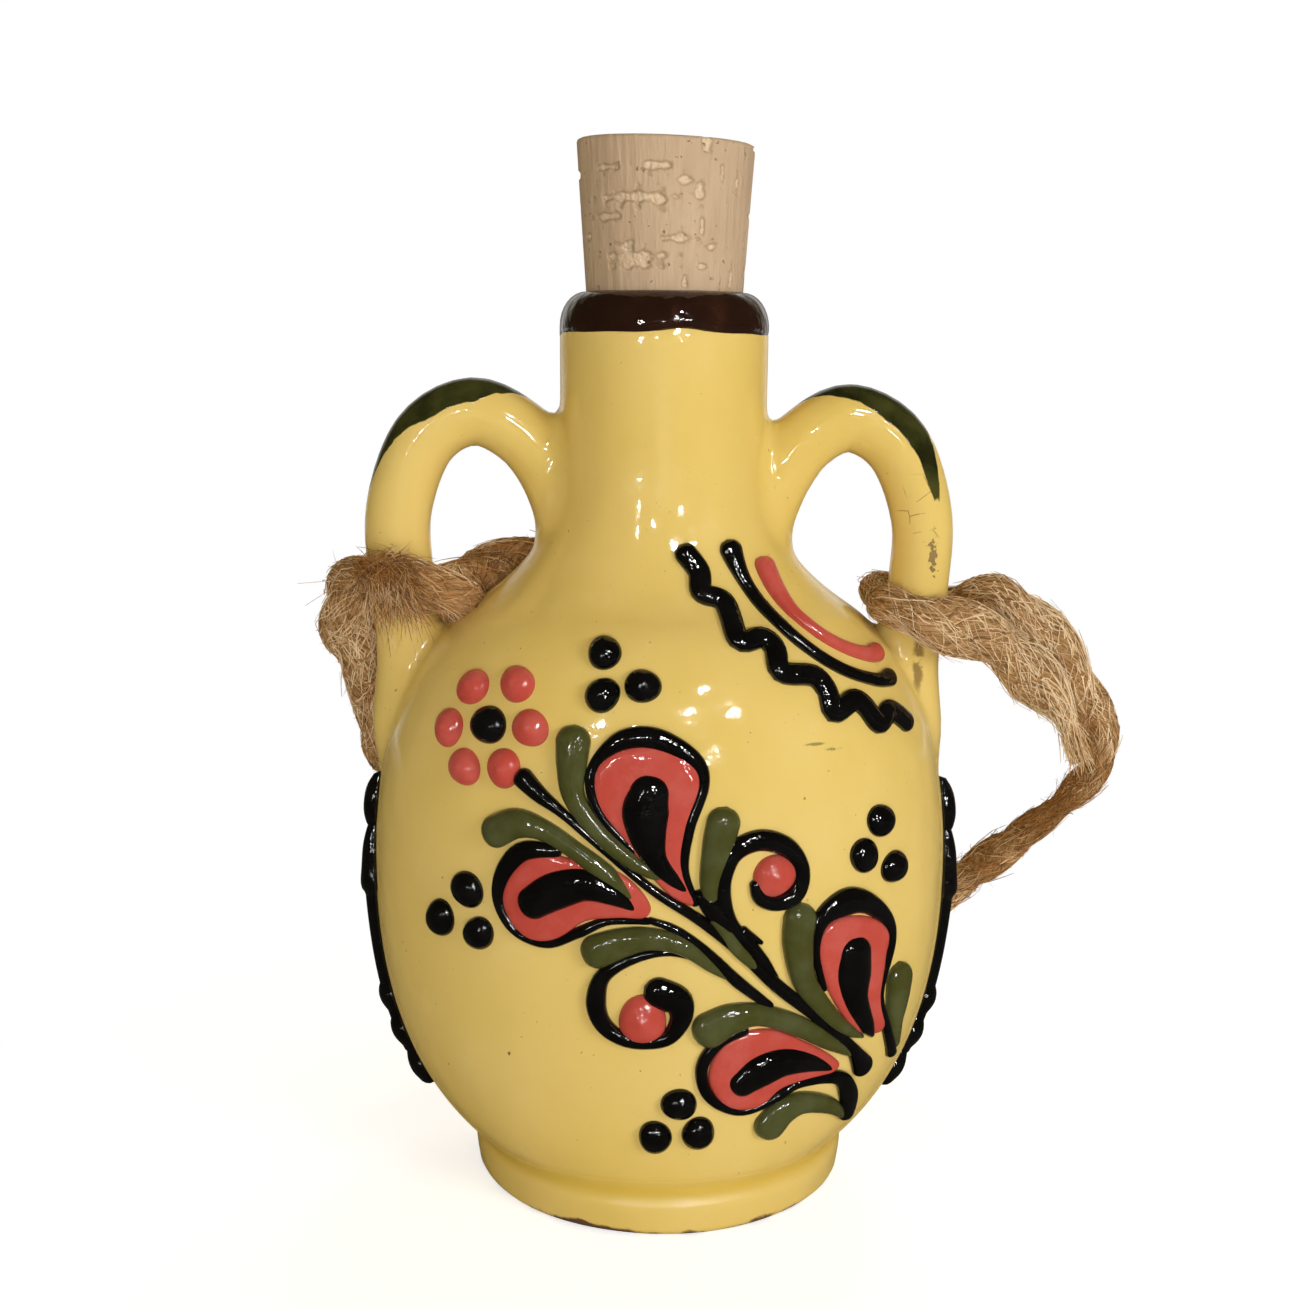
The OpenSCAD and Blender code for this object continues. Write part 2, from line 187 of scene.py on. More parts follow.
def make_object(name, points, faces, material, nodes=(), body="flask", normals=None):
    mesh = bpy.data.meshes.new(name)
    mesh.from_pydata((np.asarray(points) * MM).tolist(), [], faces)
    mesh.polygons.foreach_set("use_smooth", np.ones(len(mesh.polygons), bool))
    if normals is not None:
        mesh.normals_split_custom_set_from_vertices(normals.tolist())
    mesh.materials.append(material)
    thing = bpy.data.objects.new(name, mesh)
    bpy.context.scene.collection.objects.link(thing)
    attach(thing, body)
    if nodes:
        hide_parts(*nodes)
    return thing


def add_value(thing, name, values):
    """A number at each point, for the material to read."""
    layer = thing.data.attributes.new(name, "FLOAT", "POINT")
    layer.data.foreach_set("value", np.asarray(values, np.float32))


def lathe(name, outline, sides, material, nodes, body="flask", shape=None):
    """A closed outline of [radius, height] turned round the flask's axis; shape() may bend it."""
    outline = np.asarray(outline, float)
    turn = np.arange(sides) * TURN / sides
    radius = np.repeat(outline[:, 0][:, None], sides, axis=1)
    height = np.repeat(outline[:, 1][:, None], sides, axis=1)
    if shape:
        radius, height = shape(radius, height, turn[None, :])
    points = np.stack([radius * np.sin(turn), -radius * np.cos(turn), height], axis=-1)
    quads = grid_quads(len(outline), sides, closed=True)
    return make_object(name, points.reshape(-1, 3), quads.tolist(), material, nodes, body)


# Material building

class Nodes:
    """The nodes of a material or the world, with short names for the ones used here."""

    def __init__(self, owner, place="Object"):
        owner.use_nodes = True
        self.tree = owner.node_tree
        self.place = self.node("ShaderNodeTexCoord").outputs[place]

    def node(self, kind, sockets=(), **settings):
        made = self.tree.nodes.new(kind)
        for key, value in settings.items():
            setattr(made, key, value)
        for key, value in dict(sockets).items():
            self.set(made.inputs[key], value)
        return made

    def set(self, socket, value):
        if isinstance(value, bpy.types.NodeSocket):
            self.tree.links.new(value, socket)
        elif socket.type == "RGBA" and len(value) == 3:
            socket.default_value = (*value, 1)
        else:
            socket.default_value = value

    def math(self, operation, a, b):
        return self.node("ShaderNodeMath", {0: a, 1: b}, operation=operation).outputs[0]

    def times(self, a, b):
        return self.math("MULTIPLY", a, b)

    def plus(self, a, b):
        return self.math("ADD", a, b)

    def minus(self, a, b):
        return self.math("SUBTRACT", a, b)

    def larger(self, a, b):
        return self.math("MAXIMUM", a, b)

    def ramp(self, value, low, high, start=0.0, end=1.0):
        """A value's stretch from low to high, softly turned into start to end."""
        sockets = enumerate((value, low, high, start, end))
        return self.node("ShaderNodeMapRange", sockets, interpolation_type="SMOOTHSTEP").outputs[0]

    def mix(self, share, a, b):
        sockets = {"Factor": share, "A": a, "B": b}
        return self.node("ShaderNodeMix", sockets, data_type="RGBA").outputs["Result"]

    def length(self, vector):
        return self.node("ShaderNodeVectorMath", {0: vector}, operation="LENGTH").outputs["Value"]

    def along(self, axis):
        return self.node("ShaderNodeSeparateXYZ", {0: self.place}).outputs[axis]


class Paint(Nodes):
    """A material with the textures used here."""

    def __init__(self, name, roughness):
        self.material = bpy.data.materials.new(name)
        super().__init__(self.material)
        self.shader = self.tree.nodes["Principled BSDF"]
        self.constant("Roughness", roughness)

    def constant(self, name, value):
        self.shader.inputs[name].default_value = value

    def noise(self, scale, detail, where=None, rough=0.55):
        sockets = {"Vector": where or self.place, "Scale": scale, "Detail": detail, "Roughness": rough}
        return self.node("ShaderNodeTexNoise", sockets).outputs["Fac"]

    def cells(self, scale, feature="F1"):
        """Distance from the middle, or else the edge, of scattered cells."""
        sockets = {"Vector": self.place, "Scale": scale}
        return self.node("ShaderNodeTexVoronoi", sockets, feature=feature).outputs["Distance"]

    def stretch(self, scale, where=None):
        sockets = {"Vector": where or self.place, "Scale": scale}
        return self.node("ShaderNodeMapping", sockets).outputs["Vector"]

    def near(self, middle, reach):
        """1 at a place given in millimetres, 0 from its reach on."""
        sockets = {"Vector": self.place, "Location": np.multiply(middle, MM), "Scale": np.multiply(reach, MM)}
        moved = self.node("ShaderNodeMapping", sockets, vector_type="TEXTURE")
        return self.ramp(self.length(moved.outputs["Vector"]), 0, 1, 1, 0)

    def value(self, name):
        return self.node("ShaderNodeAttribute", attribute_name=name).outputs["Fac"]

    def colour(self, value):
        self.set(self.shader.inputs["Base Color"], value)

    def roughness(self, value):
        self.set(self.shader.inputs["Roughness"], value)

    def glossy(self, value):
        """Roughness of a gloss that softens where the surface turns away."""
        rim = self.node("ShaderNodeLayerWeight").outputs["Facing"]
        self.roughness(self.plus(value, self.ramp(rim, 0.7, 0.95, 0, 0.35)))

    def bump(self, value, distance):
        made = self.node("ShaderNodeBump", {"Height": value, "Distance": distance})
        self.set(self.shader.inputs["Normal"], made.outputs["Normal"])


# Colours

YELLOW = (0.81, 0.60, 0.195)
YELLOW_THICK = (0.77, 0.56, 0.15)
YELLOW_THIN = (0.85, 0.66, 0.27)
YELLOW_POOLED_AND_SHADED = (0.66, 0.44, 0.05)
CLAY_BROWN = (0.13, 0.055, 0.02)
LEAF_GREEN = (0.062, 0.065, 0.016)
LEAF_PALE = (0.085, 0.092, 0.035)
BRUSH_GREEN = (0.009, 0.0095, 0.0022)
BLACK = (0.0015, 0.0015, 0.0018)
BLACK_PALE = (0.004, 0.004, 0.0045)
RED = (0.53, 0.074, 0.055)
RED_PALE = (0.57, 0.105, 0.085)
LIP_BROWN = (0.019, 0.007, 0.004)
LIP_THIN = (0.046, 0.016, 0.008)
JUTE = (0.70, 0.41, 0.18)
JUTE_DARK = (0.27, 0.128, 0.044)
JUTE_PALE = (0.92, 0.71, 0.46)
JUTE_RUST = (0.55, 0.25, 0.07)
CORK_TAN = (0.59, 0.43, 0.29)
CORK_SHADE = (0.53, 0.375, 0.248)
CORK_DARK = (0.30, 0.18, 0.09)
CORK_CREAM = (0.78, 0.60, 0.42)


def glaze_base(paint):
    """The yellow glaze's colour with clouds and specks, and its ripple and pinholes as a height."""
    cloud = paint.ramp(paint.noise(38, 4), 0.35, 0.68)
    colour = paint.mix(cloud, YELLOW_THICK, YELLOW)
    thin = paint.ramp(paint.noise(150, 5), 0.62, 0.85, 0, 0.5)
    colour = paint.mix(thin, colour, YELLOW_THIN)
    # The lower belly is painted paler: painted light, standing in for the light it gets from below and the
    # front
    low = paint.ramp(paint.along("Z"), 10 * MM, 25 * MM)
    painted_belly_light = paint.ramp(paint.along("Z"), belly_height * MM, shoulder_height * MM, 0.25, 0)
    colour = paint.mix(paint.times(low, painted_belly_light), colour, YELLOW_THIN)
    # Darker olive yellow in the hollow above the foot: partly glaze pooled there, partly painted shade in the
    # crease
    crease = foot_height * MM
    above = paint.ramp(paint.along("Z"), crease, crease + 3 * MM, 0.75, 0)
    below = paint.ramp(paint.along("Z"), crease - 1.8 * MM, crease)
    colour = paint.mix(paint.times(above, below), colour, YELLOW_POOLED_AND_SHADED)
    chosen = paint.ramp(paint.noise(520, 1), 0.60, 0.66)
    speck = paint.times(paint.ramp(paint.cells(210), 0.03, 0.07, 1, 0), chosen)
    colour = paint.mix(paint.times(speck, 0.75), colour, CLAY_BROWN)
    ripple = paint.plus(paint.noise(75, 2), paint.times(paint.noise(700, 2), 0.05))
    return colour, paint.minus(ripple, paint.times(speck, 0.6))


def yellow_glaze():
    """Glaze of body, neck and handles: green brush strokes, a chipped and stained right limb, a scratch."""
    paint = Paint("yellow_glaze", 0.1)
    colour, ripple = glaze_base(paint)
    edge = paint.times(paint.minus(paint.noise(260, 3), 0.5), 0.16)
    stroke = paint.ramp(paint.plus(paint.value("brush"), edge), 0.0, 0.05)
    streak = paint.ramp(paint.noise(130, 4), 0.3, 0.75)
    green = paint.mix(streak, BRUSH_GREEN, LEAF_GREEN)
    colour = paint.mix(stroke, colour, green)
    limb = handle_reach + 0.5
    worn = paint.near((limb + 0.2, -handle_radius, shoulder_height + 7.5), (1.3, 4, 6))
    chip = paint.ramp(paint.plus(paint.times(worn, 0.36), paint.noise(1500, 3)), 0.72, 0.78)
    colour = paint.mix(paint.times(chip, 0.75), colour, CLAY_BROWN)
    stain = paint.near((limb - 1.4, -handle_radius, shoulder_height - 8), (1.5, 7, 7))
    stain = paint.times(stain, paint.ramp(paint.noise(420, 4), 0.35, 0.6))
    colour = paint.mix(paint.ramp(stain, 0.1, 0.7, 0, 0.7), colour, CLAY_BROWN)
    crack = paint.ramp(paint.cells(230, feature="DISTANCE_TO_EDGE"), 0, 0.025, 1, 0)
    crack = paint.times(crack, paint.ramp(paint.noise(330, 2), 0.46, 0.56))
    aged = paint.near((limb - 2, -handle_radius, shoulder_height + 13), (5, 6, 9))
    crack = paint.times(crack, paint.ramp(aged, 0.1, 0.5, 0, 0.7))
    colour = paint.mix(crack, colour, CLAY_BROWN)
    front = 6 - belly_half_depth
    scratch = paint.near((20.5, front, 69.5), (2.3, 14, 0.35))
    scratch = paint.larger(scratch, paint.near((23, front, 68.6), (2, 14, 0.4)))
    scratch = paint.times(scratch, paint.ramp(paint.noise(700, 3), 0.35, 0.6))
    colour = paint.mix(paint.ramp(scratch, 0.1, 0.6, 0, 0.6), colour, LEAF_GREEN)
    paint.colour(colour)
    paint.glossy(paint.plus(paint.ramp(paint.noise(420, 4), 0.35, 0.8, 0.06, 0.13),
                            paint.times(chip, 0.5)))
    height = paint.plus(ripple, paint.times(stroke, 0.12))
    paint.bump(paint.minus(height, paint.times(chip, 0.3)), 0.0005)
    return paint.material


def foot_glaze():
    """The same glaze, worn through to brown clay along the standing edge."""
    paint = Paint("foot_glaze", 0.12)
    colour, ripple = glaze_base(paint)
    low = paint.ramp(paint.along("Z"), 0, 3.6 * MM, 1, 0)
    rubbed = paint.near((-9, 1 - foot_radius, 0), (11, 6, 2.6))
    worn = paint.plus(paint.times(low, 0.36), paint.times(paint.noise(170, 5), 0.75))
    worn = paint.ramp(paint.plus(worn, paint.times(rubbed, 0.26)), 0.69, 0.80)
    paint.colour(paint.mix(worn, colour, CLAY_BROWN))
    paint.roughness(paint.plus(paint.ramp(paint.noise(420, 4), 0.35, 0.8, 0.28, 0.4),
                               paint.times(worn, 0.5)))
    paint.bump(paint.minus(ripple, paint.times(worn, 0.3)), 0.0005)
    return paint.material


def slip(name, deep, pale, gloss):
    """Raised slip: a soft change of tone, small pits and a wet gloss."""
    paint = Paint(name, gloss)
    tone = paint.ramp(paint.noise(230, 4), 0.35, 0.72)
    paint.colour(paint.mix(tone, deep, pale))
    paint.roughness(paint.ramp(paint.noise(600, 4), 0.35, 0.8, gloss * 0.7, gloss * 1.6))
    pits = paint.ramp(paint.cells(520), 0.02, 0.12)
    height = paint.plus(paint.noise(330, 3), paint.times(pits, 0.15))
    paint.bump(height, 0.00022)
    return paint.material


def brown_glaze():
    """The dark dip of the lip, redder where it runs thin."""
    paint = Paint("brown_glaze", 0.08)
    thin = paint.ramp(paint.noise(180, 4), 0.45, 0.8)
    paint.colour(paint.mix(thin, LIP_BROWN, LIP_THIN))
    paint.glossy(paint.ramp(paint.noise(500, 3), 0.35, 0.8, 0.05, 0.14))
    paint.bump(paint.noise(160, 3), 0.0006)
    return paint.material


def jute_paint():
    """The strands' inside: fibres run along, in strips of lighter and darker straw."""
    paint = Paint("jute", 0.85)
    along = paint.node("ShaderNodeUVMap").outputs["UV"]
    fibre = paint.noise(1, 5, paint.stretch((3, 34, 1), along), 0.75)
    colour = paint.mix(paint.ramp(fibre, 0.36, 0.60), JUTE_DARK, JUTE)
    paint.colour(paint.mix(paint.ramp(fibre, 0.55, 0.78), colour, JUTE_PALE))
    paint.roughness(paint.ramp(fibre, 0.3, 0.8, 0.95, 0.75))
    paint.constant("Specular IOR Level", 0.2)
    paint.bump(fibre, 0.0008)
    return paint.material


def fibre_paint():
    """Single fibres: each has its own tone, from rust-brown in the frayed tuft to pale straw."""
    paint = Paint("jute_fibre", 0.75)
    patch = paint.ramp(paint.noise(170, 4), 0.3, 0.7, -0.5, 0.38)
    tone = paint.plus(paint.value("tone"), patch)
    colour = paint.mix(paint.ramp(tone, -0.5, 0.1), JUTE_RUST, JUTE_DARK)
    colour = paint.mix(paint.ramp(tone, 0.05, 0.4), colour, JUTE)
    paint.colour(paint.mix(paint.ramp(tone, 0.35, 1.0), colour, JUTE_PALE))
    paint.roughness(paint.ramp(tone, 0, 1, 0.85, 0.65))
    paint.constant("Specular IOR Level", 0.3)
    paint.bump(paint.noise(2500, 2), 0.0001)
    return paint.material


def cork_paint():
    """Natural cork: fine upright grain, pale crumbly lenticels and small pores."""
    paint = Paint("cork", 0.8)
    grain = paint.noise(1, 5, paint.stretch((900, 900, 130)), 0.6)
    cloud = paint.noise(90, 4)
    colour = paint.mix(paint.ramp(grain, 0.3, 0.7), CORK_SHADE, CORK_TAN)
    colour = paint.mix(paint.ramp(cloud, 0.55, 0.8, 0, 0.4), colour, CORK_CREAM)
    pit = paint.value("pit")
    # A dark ring round each lenticel's edge: painted shade in the pits' rims
    rim = paint.times(paint.ramp(pit, 0.05, 0.25), paint.ramp(pit, 0.3, 0.55, 1, 0))
    colour = paint.mix(paint.times(rim, 0.3), colour, CORK_DARK)
    crumb = paint.ramp(paint.noise(1500, 2), 0.3, 0.6, 0.25, 0.9)
    crumb = paint.times(paint.ramp(pit, 0.3, 0.7), crumb)
    colour = paint.mix(crumb, colour, CORK_CREAM)
    pore = paint.ramp(paint.noise(900, 2), 0.68, 0.76)
    paint.colour(paint.mix(paint.times(pore, 0.4), colour, CORK_DARK))
    paint.roughness(paint.ramp(grain, 0.3, 0.8, 0.7, 0.92))
    height = paint.minus(grain, paint.times(pore, 0.8))
    height = paint.plus(height, paint.times(paint.times(crumb, paint.noise(1800, 3)), 0.5))
    paint.bump(height, 0.0004)
    return paint.material


# The rope

def rope_route():
    """The rope's middle line, from its left end through both handles to its right end."""
    hold = handle_radius + rope_radius + 0.4
    slant = hold * 0.72
    limb = handle_reach
    knot = shoulder_height + 3
    side = belly_half_width
    back = belly_half_depth
    table = rope_radius + 0.2
    left = [[-5, neck_radius + 6.8, knot + 3], [-19, neck_radius + 0.5, knot + 1.5],
            [10.1 - limb, 5.5, knot + 0.6], [3 - limb + hold / 2, -5, knot + 0.2], [-limb, -hold, knot + 1.5],
            [1.5 - limb - hold, -5, knot], [-side - 4.8, 0.5, knot - 6], [-side - 4, 5.5, knot - 13.5],
            [-side - 2.8, 10.5, belly_height + 20.5], [-side - 0.8, 16.5, belly_height + 12]]
    behind = [[6 - side, back - 2, belly_height - 1], [12 - side, back + 7.5, 28],
              [18 - side, back + 13, 12], [-14, back + 17, table + 1.4], [0, back + 18, table],
              [16, back + 18, table + 1], [side - 11, back + 15, 8], [side, back + 11, 20],
              [side + 8.5, back + 6.5, 31], [side + 15, back - 2.5, 40], [side + 20, 18, belly_height + 3],
              [side + 23.5, 5, belly_height + 14]]
    right = [[side + 21, 1, belly_height + 24], [side + 14.5, -0.5, knot - 8.5], [side + 7.5, 1, knot - 2],
             [limb + hold - 1.4, 5.5, knot - 4.5], [limb, hold, knot - 4], [limb - slant, slant, knot - 2],
             [limb - hold, 0, knot - 0.9], [limb - slant, -slant, knot - 2.2], [limb, -hold, knot - 4.2],
             [limb + 6, -7, knot - 6.2], [side + 6.9, -5.6, knot - 9], [side + 11.3, -5.4, knot - 12.8],
             [side + 15.8, -5.2, knot - 18.4], [side + 18.8, -4.4, knot - 25]]
    return np.array(left + behind + right, float)


STRANDS = 2
STRAND_PITCH = 27
STRAND_THICK = 0.74
STRAND_OFFSET = 0.31
STRAND_SIDES = 14
ROPE_POINTS = 620
RING_STEP = 0.062
END_TAPER = 16
TABLE_GAP = 0.1
# Thicker and thinner stretches: middle, reach, change
BUNCHES = [((-handle_reach - 8.5, 0, shoulder_height - 7), 9, 0.4), ((-27, 6, shoulder_height + 3), 8, 0.5),
           ((-27.5, -2, shoulder_height + 2), 6, 0.45), ((handle_reach - 7, 0, shoulder_height + 2), 4, -0.3),
           ((handle_reach + 4, -7, shoulder_height - 2), 7, 0.3),
           ((handle_reach + 17, -2, shoulder_height - 7), 9, 0.26),
           ((belly_half_width + 17, 12, belly_height + 4), 16, -0.3)]
# Places where the soft rope gives way to the clay: middle, reach, shift
GIVES = [((-belly_half_width - 4.5, 3, shoulder_height - 8), 9, (0.9, 0, 0)),
         ((-belly_half_width - 3, 10, belly_height + 22), 8, (0.9, 0, 0)),
         ((-31, 1, shoulder_height + 3), 7, (-0.2, -0.3, -2.6)),
         ((handle_reach - 8, 0, shoulder_height + 2), 4.5, (2.4, 0, -1.6))]
# Paler and browner stretches: middle, reach, change of tone. The first, the left stretch by the handle, is
# painted light: paler where the rope lies in shade
ROPE_TONE_AND_PAINTED_LIGHT = [((-handle_reach - 8, 0, shoulder_height - 4), 12, 0.85),
          ((handle_reach + 14, -6, shoulder_height - 9), 18, 0.9),
          ((belly_half_width + 15, 14, belly_height), 18, -0.5)]


def soft_line():
    """The route as an even line, pressed against the clay where the rope is drawn tight."""
    line = even(through(rope_route(), np.linspace(0, 1, 2000)), ROPE_POINTS)
    for place, reach, shift in GIVES:
        line = line + bell(line, place, reach)[:, None] * shift
    return line


def rope_strands(line):
    """The middle lines and radii of the loosely laid strands, fuller where the rope bunches."""
    _, aside, up = frames_along(line)
    length = run_along(line)
    share = length / length[-1]
    swell = 1 + 0.05 * np.sin(share * 61) + 0.04 * np.sin(share * 143 + 1)
    for place, reach, extra in BUNCHES:
        swell = swell + extra * bell(line, place, reach)
    swell = swell * (0.4 + 0.6 * smooth_step(0, END_TAPER, length[-1] - length))
    strands = []
    for s in range(STRANDS):
        angle = TURN * (s / STRANDS + length / STRAND_PITCH) + 0.3 * np.sin(share * 40 + 2 * s)
        out = np.cos(angle)[:, None] * aside + np.sin(angle)[:, None] * up
        radius = rope_radius * STRAND_THICK * swell * (1 + 0.06 * np.sin(share * 97 + 3 * s))
        offset = rope_radius * STRAND_OFFSET * swell[:, None]
        strands.append((line + offset * out, radius))
    return strands


def tube(line, radius, sides, chance, rough):
    """Rings round a line; rough is how uneven they are."""
    _, aside, up = frames_along(line)
    turn = np.arange(sides) * TURN / sides
    out = np.cos(turn)[None, :, None] * aside[:, None] + np.sin(turn)[None, :, None] * up[:, None]
    lumps = 1 + rough * chance.standard_normal((len(line), sides))
    return line[:, None] + out * (radius[:, None] * lumps)[:, :, None]


FIBRE_POINTS = 7
FIBRE_SIDES = 3
FIBRE_STEPS = np.linspace(0, 1, FIBRE_POINTS)
LONGEST_FIBRE = 20
LOOSE_POINTS = 6


def laid_fibres(strands, count, chance):
    """Fibres felted along each strand's surface; some lift off it towards their ends."""
    lines = []
    for strand, radius in strands:
        _, aside, up = frames_along(strand)
        first = chance.integers(0, ROPE_POINTS - 5, count)[:, None]
        at = (first + chance.integers(5, LONGEST_FIBRE, count)[:, None] * FIBRE_STEPS).astype(int)
        at = np.minimum(at, ROPE_POINTS - 1)
        drift = chance.normal(0.3, 1.4, count)[:, None]
        curl = chance.normal(0, 0.22, count)[:, None]
        curl = curl * np.sin(chance.uniform(3, 9, count)[:, None] * FIBRE_STEPS)
        angle = (chance.uniform(0, TURN, count)[:, None] + drift * FIBRE_STEPS + curl)[..., None]
        out = np.cos(angle) * aside[at] + np.sin(angle) * up[at]
        lift = 1.1 * chance.uniform(0, 1, count)[:, None] ** 5 * FIBRE_STEPS ** 2
        lines.append(strand[at] + out * (radius[at] * 1.02 + lift)[..., None])
    return np.concatenate(lines)


def bent_fibres(roots, ways, bends, lengths):
    """Fibres from roots that set out along ways and bend off."""
    share = FIBRE_STEPS[None, :, None]
    return roots[:, None] + lengths[:, None, None] * (share * ways[:, None] + share ** 2 * bends[:, None])


def scatter(middle, spread, count, chance):
    """Random places or directions round a middle."""
    return middle + spread * chance.standard_normal((count, 3))


def loose_hairs(strands, count, chance):
    """Short hairs that stand off the rope all round."""
    lines = []
    for strand, radius in strands:
        ahead, aside, up = frames_along(strand)
        pick = chance.integers(0, ROPE_POINTS, count)
        angle = chance.uniform(0, TURN, count)[:, None]
        out = np.cos(angle) * aside[pick] + np.sin(angle) * up[pick]
        lean = chance.normal(0, 1.6, count)[:, None]
        bends = scatter(0, 0.3, count, chance)
        roots = strand[pick] + out * (radius[pick] * 0.96)[:, None]
        ways = unit(out + lean * ahead[pick])
        lines.append(bent_fibres(roots, ways, bends, chance.uniform(0.5, 1.6, count)))
    return np.concatenate(lines)


def frayed_ends(line, count, chance):
    """The loosened fibres at both ends of the rope."""
    lines = []
    for end, before in ((line[0], line[LOOSE_POINTS]), (line[-1], line[-1 - LOOSE_POINTS])):
        roots = scatter(before, 0.25 * rope_radius, count, chance)
        ways = unit(scatter(unit(end - before), 0.12, count, chance))
        bends = scatter(0, 0.15, count, chance)
        lines.append(bent_fibres(roots, ways, bends, chance.uniform(2.5, 5, count)))
    return np.concatenate(lines)


def tuft(count, chance):
    """The frayed pile that lies over the front of the left limb and droops to the right."""
    middle = np.array([-handle_reach - 1.6, -handle_radius - 2 * rope_radius + 0.2, shoulder_height + 4.2])
    half_size = (3.4, 0.7, 2.8)
    lie = np.array([0.8, -0.25, 0.15])
    droop = np.array([-0.2, 0.15, -0.65])
    roots = middle + chance.uniform(-1, 1, (count, 3)) * half_size
    ways = unit(scatter(lie, 0.45, count, chance))
    bends = scatter(droop, 0.35, count, chance)
    return bent_fibres(roots, ways, bends, chance.uniform(2.2, 5.8, count))


def fibre_shells(lines, thick, chance):
    """Thin closed shells round fibres, tapering to their ends."""
    count = len(lines)
    ahead = unit(np.gradient(lines, axis=1))
    aside = unit(np.cross(ahead, chance.standard_normal((count, 1, 3))))
    up = np.cross(ahead, aside)
    turn = np.arange(FIBRE_SIDES) * TURN / FIBRE_SIDES
    ring = np.cos(turn)[:, None] * aside[:, :, None] + np.sin(turn)[:, None] * up[:, :, None]
    taper = thick[:, None] * (1 - 0.6 * FIBRE_STEPS ** 2)
    points = lines[:, :, None] + taper[:, :, None, None] * ring
    one = ring_faces(FIBRE_POINTS, FIBRE_SIDES)
    size = FIBRE_SIDES * FIBRE_POINTS
    faces = [[corner + size * i for corner in face] for i in range(count) for face in one]
    return points.reshape(-1, 3), faces


def lay_fibres(rope):
    """Chart of each strand: along it in about centimetres, round it in turns, for the fibres to follow."""
    layer = rope.data.uv_layers.new(name="UVMap")
    corners = rope.data.loops
    for face in rope.data.polygons:
        at_seam = corners[face.loop_start].vertex_index % STRAND_SIDES == STRAND_SIDES - 1
        for corner in face.loop_indices:
            ring, side = divmod(corners[corner].vertex_index, STRAND_SIDES)
            along = ring % ROPE_POINTS * RING_STEP
            turned = 1 if at_seam and side == 0 else side / STRAND_SIDES
            layer.data[corner].uv = (along, turned + 0.5 * along)


def make_rope(material, fibre_material):
    chance = np.random.default_rng(11)
    line = soft_line()
    strands = rope_strands(line)
    pile = Pile()
    for strand, radius in strands:
        rings = tube(strand, radius, STRAND_SIDES, chance, 0.05)
        rings[..., 2] = np.maximum(rings[..., 2], TABLE_GAP)
        pile.add(rings)
    rope = pile.make("jute_rope", material, ("left_hitch", "carry_cord", "right_hitch"))
    lay_fibres(rope)
    # Fibres of each kind, with their range of thickness and of tone
    kinds = [(laid_fibres(strands, 3600, chance), (0.05, 0.13), (-0.15, 1)),
             (loose_hairs(strands, 700, chance), (0.025, 0.045), (0.5, 1.1)),
             (frayed_ends(line, 220, chance), (0.05, 0.1), (-0.1, 0.9)),
             (tuft(1500, chance), (0.05, 0.09), (-0.5, 0.6))]
    lines = np.concatenate([fibres for fibres, _, _ in kinds])
    thick = np.concatenate([chance.uniform(*thickness, len(fibres)) for fibres, thickness, _ in kinds])
    tone = np.concatenate([chance.uniform(*tones, len(fibres)) for fibres, _, tones in kinds])
    # The rope's tone changes along it; the left stretch's paler tone is painted light
    for place, reach, shift in ROPE_TONE_AND_PAINTED_LIGHT:
        tone = tone + shift * bell(lines[:, 0], place, reach)
    points, faces = fibre_shells(lines, thick, chance)
    points[:, 2] = np.maximum(points[:, 2], TABLE_GAP)
    fuzz = make_object("jute_fuzz", points, faces, fibre_material)
    add_value(fuzz, "tone", np.repeat(tone, FIBRE_SIDES * FIBRE_POINTS))


# The glazed flask as one smooth skin

def cubic(control, t):
    """A curve from the first to the last of four control points."""
    c = np.asarray(control, float)
    t = t[:, None]
    return (1 - t) ** 3 * c[0] + 3 * t * (1 - t) ** 2 * c[1] + 3 * t * t * (1 - t) * c[2] + t ** 3 * c[3]


def flask_profile():
    """The outside as [half width, half depth, height], from the foot to the lip."""
    belly = (belly_half_width, belly_half_depth, belly_height)
    shoulder = (27, 21.5, shoulder_height)
    neck_start = (neck_radius + 0.2, neck_radius + 0.2, neck_base)
    low = [(foot_radius, foot_radius, foot_height), (35.3, 30, 12.2),
           (belly_half_width, belly_half_depth, 24.5), belly]
    middle = [belly, (belly_half_width, belly_half_depth, 64), (37.5, 29.5, 78), shoulder]
    top = [shoulder, (20, 16.2, 89.7), (neck_radius + 0.5, neck_radius + 0.5, 95), neck_start]
    steps = 60
    t = np.arange(steps) / steps
    end = [neck_start, (neck_radius + 0.3, neck_radius + 0.3, lip_height + 5)]
    return np.concatenate([cubic(low, t), cubic(middle, t), cubic(top, t), end])


PROFILE = flask_profile()
HEIGHTS = PROFILE[:, 2]
SLOPES = np.gradient(PROFILE[:, :2], HEIGHTS, axis=0)


def body_size(z):
    """Half the body's width and depth at a height."""
    return np.interp(z, HEIGHTS, PROFILE[:, 0]), np.interp(z, HEIGHTS, PROFILE[:, 1])


def skin_gap(p):
    """Distance outside the body's and neck's skin, negative inside."""
    x, y, z = p[..., 0], p[..., 1], p[..., 2]
    wide, deep = body_size(z)
    widening = np.interp(z, HEIGHTS, SLOPES[:, 0])
    deepening = np.interp(z, HEIGHTS, SLOPES[:, 1])
    share = np.sqrt((x / wide) ** 2 + (y / deep) ** 2) + 1e-6
    run = np.sqrt((x / wide ** 2) ** 2 + (y / deep ** 2) ** 2) / share + 1e-6
    rise = (x * x * widening / wide ** 3 + y * y * deepening / deep ** 3) / share
    return (share - 1) / np.sqrt(run ** 2 + rise ** 2)


